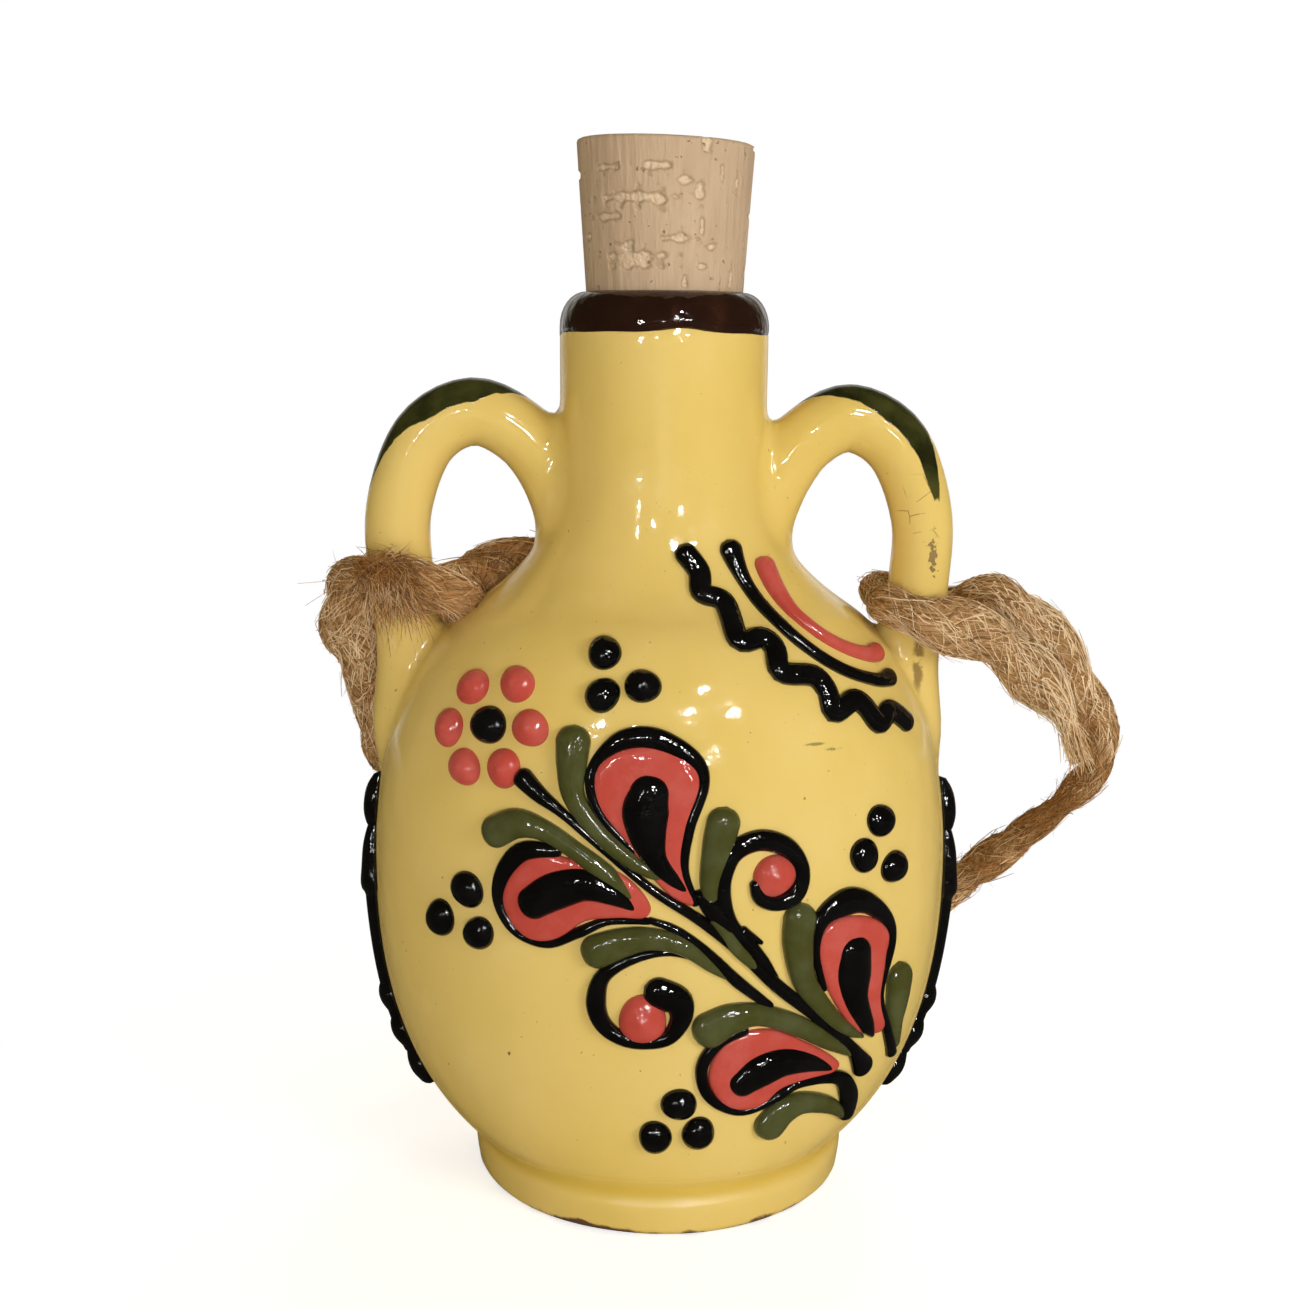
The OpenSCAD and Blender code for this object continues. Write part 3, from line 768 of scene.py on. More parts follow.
# Each handle's own shift across and up, and how much thinner its outer limb is
HANDLE_SHIFT = {-1: (-0.15, 0.15), 1: (-0.5, -0.35)}
LIMB_THINNER = {-1: 0.1, 1: 0.45}


def handle_line(side):
    """A handle's middle line with its radius, from the neck over the top and down the side."""
    r = handle_radius + 0.2
    route = [[neck_radius - 1, 0, shoulder_height + 11, r], [neck_radius + 1.8, 0, handle_top - 8.6, r],
             [neck_radius + 6.2, 0, handle_top - 2.9, r - 0.1], [handle_reach - 10.6, 0, handle_top, r],
             [handle_reach - 3.7, 0, handle_top - 4, r], [handle_reach, 0, handle_top - 14, r],
             [handle_reach - 0.2, 0, shoulder_height + 3, r], [handle_reach - 1.2, 0, shoulder_height - 8, r],
             [belly_half_width - 4.6, 0, shoulder_height - 19, r],
             [belly_half_width - 3.6, 0, shoulder_height - 26, r / 2]]
    t = np.linspace(0, 1, 46)
    line = through(route, t)
    across, up = HANDLE_SHIFT[side]
    near_neck = 1 - smooth_step(0.1, 0.4, t)
    line[:, 0] = side * line[:, 0] + across + 0.6 * near_neck
    line[:, 2] += up
    line[:, 3] -= LIMB_THINNER[side] * smooth_step(0.4, 0.6, t)
    return line


HANDLES = {side: handle_line(side) for side in (-1, 1)}
HANDLE_MIDDLE = (HANDLES[1][:, :3].min(0) + HANDLES[1][:, :3].max(0)) / 2
HANDLE_HALF = (HANDLES[1][:, :3].max(0) - HANDLES[1][:, :3].min(0)) / 2
FILLET = 2.9
FAR = 1e3


def handle_gap(p, side):
    """Distance outside a handle's bar, and how far along the bar the nearest place is."""
    line = HANDLES[side]
    gaps = np.full(p.shape[:-1], FAR)
    shares = np.zeros(p.shape[:-1])
    reach = handle_radius + 2 * FILLET
    close = np.all(np.abs(p - HANDLE_MIDDLE * (side, 1, 1)) < HANDLE_HALF + reach, axis=-1)
    near = p[close]
    best = np.full(len(near), FAR)
    share = np.zeros(len(near))
    for i in range(len(line) - 1 if len(near) else 0):
        a, b = line[i], line[i + 1]
        span = b[:3] - a[:3]
        t = np.clip(((near - a[:3]) @ span) / (span @ span), 0, 1)
        gap = np.linalg.norm(near - a[:3] - t[:, None] * span, axis=-1) - (a[3] + t * (b[3] - a[3]))
        nearer = gap < best
        best = np.where(nearer, gap, best)
        share = np.where(nearer, (i + t) / (len(line) - 1), share)
    gaps[close] = best
    shares[close] = share
    return gaps, shares


def soft_union(a, b, fillet):
    h = np.clip(0.5 + 0.5 * (b - a) / fillet, 0, 1)
    return b + (a - b) * h - fillet * h * (1 - h)


def round_meet(a, b, radius):
    """Where two half-spaces meet, with a rounded edge."""
    corner = np.hypot(np.maximum(a + radius, 0), np.maximum(b + radius, 0)) - radius
    return np.where(corner > -radius, corner, np.maximum(a, b))


UNDER_COAT = 0.35
LIP_ROUNDING = 3.6


def flask_gap(p):
    """Distance outside the fired flask, negative in its wall."""
    z = p[..., 2]
    skin = skin_gap(p)
    coat = UNDER_COAT * smooth_step(dip_edge + 0.3, dip_edge + 2, z)
    outside = round_meet(skin + coat, z - lip_height + UNDER_COAT, LIP_ROUNDING)
    outside = np.maximum(outside, foot_height - z)
    fillet = FILLET * (0.5 + 0.5 * smooth_step(shoulder_height - 11, shoulder_height + 3, z))
    for side in HANDLES:
        outside = soft_union(outside, handle_gap(p, side)[0], fillet)
    upward = np.clip((z - foot_height) / (neck_base - foot_height), 0, 1)
    thick = wall + (neck_radius - bore_radius - wall) * upward
    wider_bore = 0.2 * smooth_step(shoulder_height + 5, neck_base, z)
    hollow = np.maximum(skin + thick + wider_bore, foot_height + wall - z)
    return np.maximum(outside, -hollow)


def gap_slope(p, step=0.05):
    """Direction in which flask_gap grows fastest, and its rate."""
    parts = []
    for axis in np.eye(3) * step:
        parts.append((flask_gap(p + axis) - flask_gap(p - axis)) / (2 * step))
    return np.stack(parts, axis=-1)


def settle(p, rounds=4):
    """Moves points onto the flask's surface; returns them and the surface's outward directions."""
    for _ in range(rounds):
        slope = gap_slope(p)
        rate = np.maximum((slope ** 2).sum(-1, keepdims=True), 0.1)
        p = p - np.clip(flask_gap(p)[..., None] / rate, -1, 1) * slope
    return p, unit(gap_slope(p))


NET_PITCH = 1.0
NET_SMOOTHING = 0.6


def surface_net(low, high):
    """Quads near the flask's surface, one point in each grid cell that it crosses."""
    counts = np.ceil((high - low) / NET_PITCH).astype(int)
    axes = [low[i] + NET_PITCH * np.arange(counts[i]) for i in range(3)]
    grid = np.stack(np.meshgrid(*axes, indexing="ij"), axis=-1)
    inside = flask_gap(grid) < 0
    parts = [inside[i:counts[0] - 1 + i, j:counts[1] - 1 + j, k:counts[2] - 1 + k].astype(np.int8)
             for i, j, k in itertools.product((0, 1), repeat=3)]
    total = sum(parts)
    crossed = (total > 0) & (total < 8)
    number = np.full(crossed.shape, -1)
    number[crossed] = np.arange(crossed.sum())
    points = low + (np.argwhere(crossed) + 0.5) * NET_PITCH
    faces = []
    for axis in range(3):
        first = np.moveaxis(inside, axis, 0)
        cell = np.moveaxis(number, axis, 0)
        here = first[:-1, 1:-1, 1:-1]
        there = first[1:, 1:-1, 1:-1]
        quad = np.stack([cell[:, :-1, :-1], cell[:, 1:, :-1], cell[:, 1:, 1:], cell[:, :-1, 1:]], axis=-1)
        leaving = quad[here & ~there]
        entering = quad[there & ~here]
        if axis == 1:
            leaving, entering = leaving[:, ::-1], entering[:, ::-1]
        faces += [leaving, entering[:, ::-1]]
    return points, np.concatenate(faces)


def even_out(points, faces):
    """Moves every point towards the middle of its neighbours."""
    total = np.zeros_like(points)
    count = np.zeros(len(points))
    for k in range(4):
        a, b = faces[:, k], faces[:, (k + 1) % 4]
        np.add.at(total, a, points[b])
        np.add.at(total, b, points[a])
        np.add.at(count, a, 1)
        np.add.at(count, b, 1)
    return total / count[:, None]


# The brush strokes over the handles: shares of the bar, and half width and lean to the front in radians
BRUSH_START = 0.24
BRUSH_HEAD = 0.08
BRUSH_TAIL = 0.16
BRUSH_END = {-1: 0.57, 1: 0.555}
BRUSH_HALF = {-1: 1.3, 1: 0.8}
BRUSH_LEAN = {-1: 0.05, 1: 1.1}
BRUSH_REACH = 1.5


def make_flask(material):
    low = np.array([-belly_half_width - 4, -belly_half_depth - 3, foot_height - 3])
    high = np.array([belly_half_width + 4, belly_half_depth + 3, lip_height + 3])
    points, faces = surface_net(low, high)
    for _ in range(3):
        points, _ = settle(points, 1)
        points = points + NET_SMOOTHING * (even_out(points, faces) - points)
    points, normals = settle(points)
    flask = make_object("glazed_flask", points, faces.tolist(), material,
                        ("body", "neck", "left_handle", "right_handle"), normals=normals)
    brush = np.full(len(points), -1.0)
    for side in HANDLES:
        gap, share = handle_gap(points, side)
        line = HANDLES[side]
        bar = through(line[:, :3], share)
        ahead = unit(through(line[:, :3], np.minimum(share + 0.01, 1)) - bar)
        outer = np.stack([-ahead[:, 2] * side, np.zeros(len(bar)), ahead[:, 0] * side], axis=1)
        lean = (BRUSH_LEAN[side] * smooth_step(BRUSH_START, BRUSH_END[side], share))[:, None]
        facing = (unit(points - bar) * (np.cos(lean) * outer + np.sin(lean) * np.array([0, -1, 0]))).sum(1)
        reach = np.minimum((share - BRUSH_START) / BRUSH_HEAD, (BRUSH_END[side] - share) / BRUSH_TAIL)
        mark = BRUSH_HALF[side] * np.minimum(1, reach) - np.arccos(np.clip(facing, -1, 1))
        brush = np.where(gap < BRUSH_REACH, np.maximum(brush, mark), brush)
    add_value(flask, "brush", brush)


def body_radius(height, turn):
    """The body's radius at a height, in a direction counted from the front."""
    wide, deep = body_size(height)
    return 1 / np.sqrt((np.sin(turn) / wide) ** 2 + (np.cos(turn) / deep) ** 2)


def make_foot(material):
    """The foot ring: a bulging side that runs into the body in a soft hollow and ends inside its wall."""
    edge = 1.5
    fullness = 0.45
    tuck = 0.8
    outer = foot_radius + 0.6
    inner = foot_radius - 5.5
    round_edge = np.linspace(0, math.pi / 2, 6)
    outline = [[foot_radius - 0.6, foot_height + 0.3], [inner, foot_height + 0.3]]
    outline += [[inner + edge * (1 - math.cos(a)), edge * (1 - math.sin(a))] for a in round_edge]
    outline += [[outer - edge * (1 - math.sin(a)), edge * (1 - math.cos(a))] for a in round_edge]
    steps = np.linspace(0.1, 1, 10)
    side_rows = slice(len(outline), len(outline) + len(steps))
    hollow_rows = slice(len(outline) + len(steps), len(outline) + 2 * len(steps))
    outline += [[outer, foot_height]] * (2 * len(steps) + 2)

    def bend(a, b, c):
        s = steps[:, None]
        return (1 - s) ** 2 * a + 2 * s * (1 - s) * b + s ** 2 * c

    def flow(radius, height, turn):
        front = np.cos(turn) ** 2
        bulge = outer + 0.2
        bulge_height = 5.5 - 0.7 * front
        end_height = foot_height + 1 + 0.7 * front
        radius[side_rows] = bend(outer, bulge + fullness * (bulge - foot_radius), bulge)
        start = bulge_height - fullness * (foot_height - bulge_height)
        height[side_rows] = bend(edge, start, bulge_height)
        radius[hollow_rows] = bend(bulge, foot_radius, body_radius(end_height, turn) + 0.04)
        height[hollow_rows] = bend(bulge_height, foot_height, end_height)
        uneven = 0.1 * np.sin(3 * turn + 1) + 0.05 * np.sin(7 * turn) + 0.3 * np.sin(turn)
        radius = radius + uneven * (1 - smooth_step(foot_height - 2, foot_height + 1, height))
        height[-2:] = end_height + tuck
        radius[-2] = body_radius(end_height + tuck, turn) - 0.1
        radius[-1] = radius[-2] - 0.6
        return radius, height

    lathe("foot", outline, 180, material, ("foot_ring",), shape=flow)


def make_lip(material):
    outer = neck_radius + 0.3
    tall = 4.8
    top = [[outer - LIP_ROUNDING * (1 - math.cos(a)), lip_height - tall * (1 - math.sin(a))]
           for a in np.linspace(0, math.pi / 2, 9)]
    outline = [[neck_radius - 0.6, dip_edge + 0.6], [neck_radius + 0.1, dip_edge - 0.1],
               [outer - 0.1, dip_edge + 0.25], [outer, dip_edge + 0.8]]
    outline += top + [[bore_radius + 0.35, lip_height - 0.1], [bore_radius + 0.05, lip_height - 0.3],
                      [bore_radius - 0.02, lip_height - 0.7], [bore_radius - 0.02, lip_height - 4],
                      [bore_radius + 0.4, lip_height - 4.4]]
    outline = np.array(outline[::-1])

    def drip(radius, height, turn):
        low = 1 - smooth_step(dip_edge + 0.6, dip_edge + 3, height)
        wave = 1.1 * np.cos(turn) + 0.25 * np.sin(5 * turn + 0.6) + 0.15 * np.sin(9 * turn)
        return radius, height + low * wave

    lathe("lip_coat", outline, 180, material, ("lip_glaze",), shape=drip)


# The cork

# Lenticels seen in front: turn to the right in radians, height, half width and half height
LENTICELS = [(-0.38, 141.2, 5, 0.9), (-0.1, 140.8, 1.2, 1.2), (-0.73, 145.2, 2.2, 0.45),
             (-0.12, 145.2, 2.1, 0.8), (-0.75, 138.7, 2.2, 0.7), (0.16, 135.9, 2, 0.75),
             (-0.38, 133.1, 4.6, 1.2), (-0.5, 134.6, 1.4, 0.9), (0.38, 141.8, 1, 1.2),
             (0.22, 143.4, 1.2, 0.8), (0.45, 148.5, 1.1, 1), (0.56, 134.7, 0.9, 0.5),
             (0.48, 132.2, 0.7, 0.5), (0.24, 130.1, 0.5, 0.6), (0.96, 130.8, 0.5, 1.4),
             (0.45, 137.3, 0.3, 1.2), (-1.17, 136.2, 1.2, 0.5), (1.27, 135.8, 0.8, 0.9),
             (0.69, 144.5, 0.3, 1.6), (0.95, 143.4, 0.4, 1.2)]
HIDDEN_LENTICELS = 40
CORK_WEAR = 0.6
CORK_DEPTH = 14
CORK_TAPER = 0.0625
CORK_FIT = 0.1


def lenticels(chance):
    """The lenticels in front, and seeded ones round the back."""
    turns = chance.uniform(1.5, TURN - 1.5, HIDDEN_LENTICELS)
    heights = chance.uniform(cork_low[2] + CORK_DEPTH, cork_high[2], HIDDEN_LENTICELS)
    wide = chance.uniform(0.6, 3, HIDDEN_LENTICELS)
    tall = chance.uniform(0.4, 1, HIDDEN_LENTICELS)
    return LENTICELS + list(zip(turns, heights, wide, tall))


def make_cork(material):
    chance = np.random.default_rng(5)
    low = cork_low[2]
    high = cork_high[2] - CORK_WEAR
    bottom_radius = bore_radius - CORK_FIT - CORK_DEPTH * CORK_TAPER
    top_radius = cork_high[0] + 0.15
    sides, rows = 300, 150
    side_line = [[bottom_radius + (top_radius - bottom_radius) * t, low + (high - low - 0.5) * t]
                 for t in np.linspace(0, 1, rows)]
    lid = [[top_radius - 0.12, high - 0.2], [top_radius - 0.45, high - 0.04]]
    lid += [[top_radius * s, high] for s in np.linspace(0.93, 0.03, 22)]
    base = [[bottom_radius * s, low] for s in np.linspace(0.03, 0.97, 8)]
    outline = np.array(base + side_line + lid)
    pits = np.zeros((len(outline), sides))
    ragged = 1 + 0.1 * chance.standard_normal(pits.shape)
    skin = (outline[:, 0] > 0.8 * bottom_radius)[::-1, None]

    def carve(radius, height, turn):
        for at, z, wide, tall in lenticels(chance):
            across = ((turn - at + math.pi) % TURN - math.pi) * top_radius
            uneven = 1 + 0.25 * np.sin(across * 2.3 + z) + 0.2 * np.sin(height * 4.1 + at * 7)
            reach = 1.15 - np.hypot(across / wide, (height - z) / tall) * uneven * ragged
            np.maximum(pits, np.where(skin, np.clip(reach, 0, 1), 0), out=pits)
        crumbs = 0.07 * chance.standard_normal(pits.shape) * smooth_step(0.3, 0.8, pits)
        slant = (0.4 * np.sin(turn) + 0.2 * np.cos(turn)) * radius / top_radius
        height = height - slant * smooth_step(high - 8, high, height)
        return radius - 0.35 * smooth_step(0.02, 0.45, pits) + np.clip(crumbs, -0.2, 0.2), height

    cork = lathe("natural_cork", outline[::-1], sides, material, ("cork",), body="cork", shape=carve)
    add_value(cork, "pit", pits.ravel())


# Slip ornament, on a chart of the front: across and up in millimetres, and half the line's width

LEAN = math.radians(0.7)
LEAN_HEIGHT = 108


def on_body(u, v):
    """Places on the body; the ornament leans a little, as the flask does in the photograph."""
    u, v = np.asarray(u, float), np.asarray(v, float)
    turn = (u + LEAN * (LEAN_HEIGHT - v)) / chart_radius
    up = v + LEAN * u
    wide, deep = body_size(up)
    return np.stack([wide * np.sin(turn), -deep * np.cos(turn), up], axis=-1)


def slip_rise(half):
    """How high a line of that half width stands."""
    return 1.9 * (1 - np.exp(-half / 1.2))


SINK = 0.3
ROUND_END = 0.95
RINGS_PER_MM = 2.2


def stroke(pile, points, flat):
    """A trailed line of slip with round ends through (across, up, half width)."""
    chart = np.asarray(points, float)
    rough = through(chart, np.linspace(0, 1, 400))
    place = on_body(rough[:, 0], rough[:, 1])
    at = run_along(place)
    long = at[-1]
    head, tail = chart[0, 2] * ROUND_END, chart[-1, 2] * ROUND_END
    count = int(np.clip(long * RINGS_PER_MM, 14, 120))
    want = (1 - np.cos(np.linspace(0, math.pi, count))) / 2
    want = (0.6 * np.linspace(0, 1, count) + 0.4 * want) * (long + head + tail) - head
    u, v, _ = (np.interp(np.clip(want, 0.01, long - 0.01), at, column) for column in rough.T)
    heading = np.gradient(on_body(u, v), axis=0)
    u, v, wide = (np.interp(np.clip(want, 0, long), at, column) for column in rough.T)
    middle, out = settle(on_body(u, v), 3)
    ahead = unit(heading + 1e-6 * out[:, ::-1])
    first, last = unit(place[3] - place[0]), unit(place[-1] - place[-4])
    ahead = np.where((want < 0.5)[:, None], first, np.where((want > long - 0.5)[:, None], last, ahead))
    middle = middle + np.minimum(want, 0)[:, None] * first + np.maximum(want - long, 0)[:, None] * last
    past = np.where(want < 0, -want / head, np.where(want > long, (want - long) / tail, 0))
    full = np.sqrt(np.clip(1 - past ** 2, 0.003, 1))
    half = np.maximum(wide, 0.15) * full
    aside = unit(np.cross(ahead, out))
    turn = np.linspace(0, math.pi, 13)
    spread = middle[:, None] + (half[:, None] * np.cos(turn)[None])[:, :, None] * aside[:, None]
    foot, up = settle(spread, 3)
    rise = slip_rise(wide) * full * flat
    lift = rise[:, None] * np.sin(turn)[None] ** 0.8 - SINK * (np.sin(turn)[None] < 0.05)
    pile.add((foot + lift[:, :, None] * up)[:, ::-1])


def dome(pile, u, v, radius, chance, point):
    """A round drop of slip, a little uneven, with a point where the slip was drawn off."""
    rise = 1.8
    sides = 28
    middle, out = settle(on_body(np.array([u]), np.array([v])), 3)
    aside = unit(np.cross((0, 0, 1), out[0]))
    up = np.cross(out[0], aside)
    turn = np.arange(sides) * TURN / sides
    shift = chance.uniform(0, 6, 2)
    uneven = radius * (1 + 0.05 * np.sin(2 * turn + shift[0]) + 0.02 * np.sin(3 * turn + shift[1]))
    share = np.sin(np.linspace(math.pi / 2, 0.02, 12))
    ring = np.cos(turn)[:, None] * aside + np.sin(turn)[:, None] * up
    spread = middle[0] + (share[:, None] * uneven)[:, :, None] * ring[None]
    foot, normal = settle(spread, 3)
    lift = rise * np.sqrt(np.clip(1 - share ** 2, 0, 1)) ** 1.1 + point * np.exp(-(share / 0.22) ** 2)
    lift[0] = -SINK
    pile.add(foot + lift[:, None, None] * normal)


def pool(pile, outline):
    """A flat pool of slip inside a closed outline."""
    rise = 0.75
    rounding = 1.1
    ring = np.asarray(outline, float)
    closed = np.concatenate([ring[-2:], ring, ring[:3]])
    spans = len(closed) - 1
    edge = through(closed, np.linspace(2 / spans, (2 + len(ring)) / spans, 97)[:-1])
    share = np.array([0, 0.01, 0.03, 0.06, 0.12, 0.25, 0.45, 0.7, 0.97])
    spread = edge[None] + share[:, None, None] * (edge.mean(0) - edge)[None]
    foot, normal = settle(on_body(spread[..., 0], spread[..., 1]), 3)
    depth = np.linalg.norm(spread - edge[None], axis=-1)
    lift = rise * np.sqrt(np.clip(1 - (1 - np.clip(depth / rounding, 0, 1)) ** 2, 0, 1))
    lift[0] = -SINK
    rings = foot + lift[:, :, None] * normal
    area = ((edge[:, 0] * np.roll(edge[:, 1], -1)) - np.roll(edge[:, 0], -1) * edge[:, 1]).sum()
    pile.add(rings if area > 0 else rings[:, ::-1])


LEAVES = [
    [(-13.3, 70.4, 2.4), (-13.2, 67.4, 2.1), (-12.7, 63.7, 1.6), (-10.3, 60.2, 1.3), (-6.3, 56.4, 1.2),
     (-2.4, 53.7, 0.9), (0.4, 52.3, 0.3)],
    [(-24, 57.8, 2.3), (-20.7, 59.2, 2.1), (-16.7, 58.6, 1.5), (-12.5, 56.4, 1.3), (-7.5, 52.9, 1.3),
     (-3.7, 49.3, 0.3)],
    [(7.9, 59.9, 2.3), (7, 56.7, 2.1), (5.9, 52, 1.4), (6.3, 48, 1), (9.1, 43.3, 1), (12.4, 39.9, 0.8),
     (15.2, 37.1, 0.3)],
    [(-9.1, 42.5, 2.4), (-5.8, 43.8, 2.1), (-2, 44.4, 1.6), (2.3, 43.3, 1.3), (6.2, 40.3, 0.8),
     (8.9, 38.3, 0.3)],
    [(18.6, 46, 2.4), (18.4, 42.3, 2.2), (19.8, 36.9, 1.7), (24.6, 31.4, 1.3), (28.6, 28.6, 0.9),
     (32.1, 26.9, 0.3)],
    [(38.8, 34.2, 2.5), (39.1, 31, 2.2), (39.9, 27.5, 1.4), (42.4, 23.6, 0.8)],
    [(6.1, 31.5, 2.6), (9.1, 32.9, 2.2), (13.2, 33.1, 1.6), (19, 30.9, 1.5), (25.2, 27.4, 1.1),
     (31.5, 24.1, 0.3)],
    [(17.4, 16.4, 2.4), (19.1, 18.3, 2.2), (22.6, 19, 1.7), (28.6, 17.4, 1.3), (34.7, 14.2, 0.5)]]
DROP_LOOPS = [
    [(4, 49.2, 0.6), (2.5, 53.8, 0.7), (3.3, 59.4, 0.8), (5.4, 65, 0.8), (4.2, 68.3, 1.1),
     (-0.9, 70.9, 1.5), (-5.9, 70.8, 1.4), (-9.6, 68, 0.8), (-10.2, 64.6, 0.8), (-8.3, 60.5, 0.7),
     (-4.1, 56.3, 0.5)],
    [(-2, 46.8, 0.5), (-7.5, 46.7, 0.6), (-11.5, 45, 0.8), (-16.1, 43, 0.6), (-20.9, 44.5, 0.7),
     (-23.3, 48.4, 0.9), (-22.4, 52.5, 1.3), (-19.5, 55.5, 1.4), (-14.7, 55.9, 0.9)],
    [(42.2, 22.3, 1), (37.9, 27, 0.8), (34.3, 32.8, 0.7), (35.7, 40, 0.8), (34.4, 43.6, 1.1),
     (30.1, 46.7, 1.6), (26, 47.4, 2), (22, 45.5, 1.3), (21.2, 41.1, 0.7), (23, 35.5, 0.5)],
    [(34.9, 14.8, 1.4), (32.6, 18.4, 1.6), (28.3, 21.7, 1.1), (21, 22.2, 0.8), (16.9, 20.3, 0.7),
     (11.6, 19.1, 0.6), (6.6, 21.7, 0.8), (5.2, 26, 0.9), (7.5, 29.6, 0.9), (11.1, 31, 0.7)]]
DROP_CORES = [
    [(-2.1, 64, 2.7), (-2.6, 61.5, 3.2), (-2.2, 58.1, 2.5), (-1.1, 55.1, 1.6), (1.2, 52.4, 1),
     (3.3, 50.5, 0.3)],
    [(-17.9, 48.7, 2.4), (-14.6, 50.6, 2.7), (-10.6, 51.6, 2.3), (-6.7, 50.3, 1.5), (-3.8, 48.3, 0.4)],
    [(28, 40, 2.6), (28, 36.9, 2.9), (29, 33, 2), (32, 28.9, 1.3), (34.1, 26.8, 0.5)],
    [(11.3, 23.5, 2), (14, 25.1, 2.5), (17.5, 25.9, 2.2), (22.1, 25.1, 1.4), (26.8, 23.3, 0.4)]]
DROP_POOLS = [
    [(4.2, 49), (2.3, 54.2), (3.6, 60.6), (5, 66.1), (2, 70.2), (-4.5, 70.2), (-9.4, 67.6), (-9.6, 63),
     (-5.9, 58), (-1.6, 52.5), (1.4, 49.7)],
    [(-12.9, 55.1), (-18, 55.4), (-21.9, 51.7), (-22.6, 47.6), (-19.4, 43.5), (-14.7, 43.8), (-10.6, 46.5),
     (-5.8, 47.2), (-2.6, 47.3), (-1.9, 49), (-4.1, 52), (-7.5, 54.1)],
    [(34.3, 26.8), (36.9, 27.2), (35.1, 31.4), (34.7, 38), (34.8, 42.1), (30.2, 44.8), (24.4, 45.2),
     (21.5, 41.9), (23.6, 35.3), (29.2, 28.8)],
    [(27.7, 24.3), (21.6, 27.9), (14.9, 30.9), (9.7, 30.4), (6.7, 27.3), (6.4, 23.6), (9.4, 20),
     (14.3, 19.3), (18.1, 21.8), (23.1, 22.6), (27.4, 22.9)]]
STEMS = [
    [(-20.3, 65.2, 1.5), (-17.8, 63.4, 1.2), (-13.5, 60.6, 0.7), (-7.4, 55.7, 0.55), (-1.3, 50.8, 0.7),
     (4.5, 46.9, 0.8), (9.9, 42.4, 0.9), (15.8, 36.7, 1), (22.6, 31.3, 0.8), (29.4, 26.2, 0.9),
     (33.8, 22.3, 1.8)],
    [(-2, 46.9, 0.5), (1.4, 45.6, 0.6), (5.3, 42.6, 0.7), (9.7, 38.1, 0.9), (14.6, 34.2, 0.6)]]
CURLS = [
    [(15.5, 38, 0.3), (13.3, 40.6, 0.9), (11.2, 43.2, 1), (9, 46, 0.9), (7.8, 49.2, 1.1), (7.8, 52.7, 1.2),
     (9.4, 56, 1.4), (13, 57.3, 1.5), (16.8, 56, 1.4), (18.8, 52.8, 1.3), (18, 49.6, 1.3),
     (15.3, 48.5, 1.1), (12.9, 49.4, 1.1), (12.2, 51.3, 0.9)],
    [(7, 40.3, 0.4), (1, 42.4, 0.5), (-4.1, 41.7, 0.8), (-8.2, 39.2, 1.1), (-9.4, 35.8, 1.4),
     (-8.9, 32.9, 1.3), (-7, 30.9, 1.1), (-4, 29.8, 0.9), (0.1, 30.4, 1.1), (2, 33, 1.5), (1.7, 35.6, 2.1),
     (-0.9, 36.9, 2.2)],
    [(4.6, 50.3, 0.9), (5.9, 49, 1.5), (7.4, 47, 1.4), (8.4, 45.6, 1)],
    [(10.4, 44.9, 0.9), (13.1, 43.2, 0.3)]]
BERRIES = [(14.9, 52.3, 3), (-3.1, 33, 3.4)]
PETALS = [(-33.9, 76.2), (-24.9, 77.2), (-36.2, 70.6), (-20.5, 71.8), (-31, 65.8), (-23.8, 66.3)]
EYE = (-28.1, 71.7)
DOTS = [(-10.6, 81.6), (-9.7, 76.4), (-3.4, 77.6), (-34.2, 44.4, 2.6), (-28.8, 49.2, 2.6), (-26.9, 43.3),
        (33.6, 57.7), (29.7, 53.4), (36.1, 50.8), (2.1, 20.8), (-1.5, 15.9), (5.4, 16.3)]
WAVE = [(6.9, 94), (10.1, 91.6), (9.7, 88.9), (14.5, 87.5), (14.1, 83.1), (19, 83.2), (20.6, 81.8),
        (20, 79), (25.9, 78.1), (27.6, 76.1), (27.6, 73.3), (32.4, 74.4), (34.6, 73.5), (36.8, 70.9),
        (41, 72.1), (45, 70.1)]
BLACK_LINE = [(22.9, 93.8, 1.7), (23.4, 89.8, 1.1), (24.4, 86.2, 1), (26.4, 82.8, 0.95), (30, 79.9, 0.9),
              (34.8, 77.6, 0.9), (41.4, 75.9, 1), (46.1, 75.7, 1.4)]
RED_LINE = [(33.8, 91.2, 1.7), (32.2, 88.2, 1.5), (31.6, 85.2, 1.1), (33.7, 82.5, 1), (38, 80.4, 1),
            (43.6, 79.1, 1.2), (47.1, 79, 1.5)]
SPRIG = [
    [(63, 59, 0.6), (62.8, 56.5, 1.6), (62.4, 54, 1.7), (62.2, 52, 1)],
    [(61.6, 51.5, 0.8), (61.4, 48.5, 1.5), (61.3, 45.5, 1.9), (61.4, 43, 2.4), (61.5, 41.8, 1.4)],
    [(61.6, 42, 1.2), (61.8, 37, 1.1), (62, 32, 1.1), (62.1, 24, 1.2), (61.7, 18, 1.2)],
    [(62.1, 28, 1), (62.1, 26, 2.2), (62, 24, 1.3)],
    [(61.8, 22.8, 1), (61.7, 20.8, 2.2), (61.6, 18.8, 1.3)],
    [(61.3, 17.5, 1), (61.2, 15.4, 2.2), (61.1, 13.6, 1.6)]]
SPRIG_RISE = {-1: 1.2, 1: -0.6}
# Tones and roughness of the slips
SLIPS = {"black_slip": (BLACK, BLACK_PALE, 0.06), "red_slip": (RED, RED_PALE, 0.08),
         "green_slip": (LEAF_GREEN, LEAF_PALE, 0.1)}


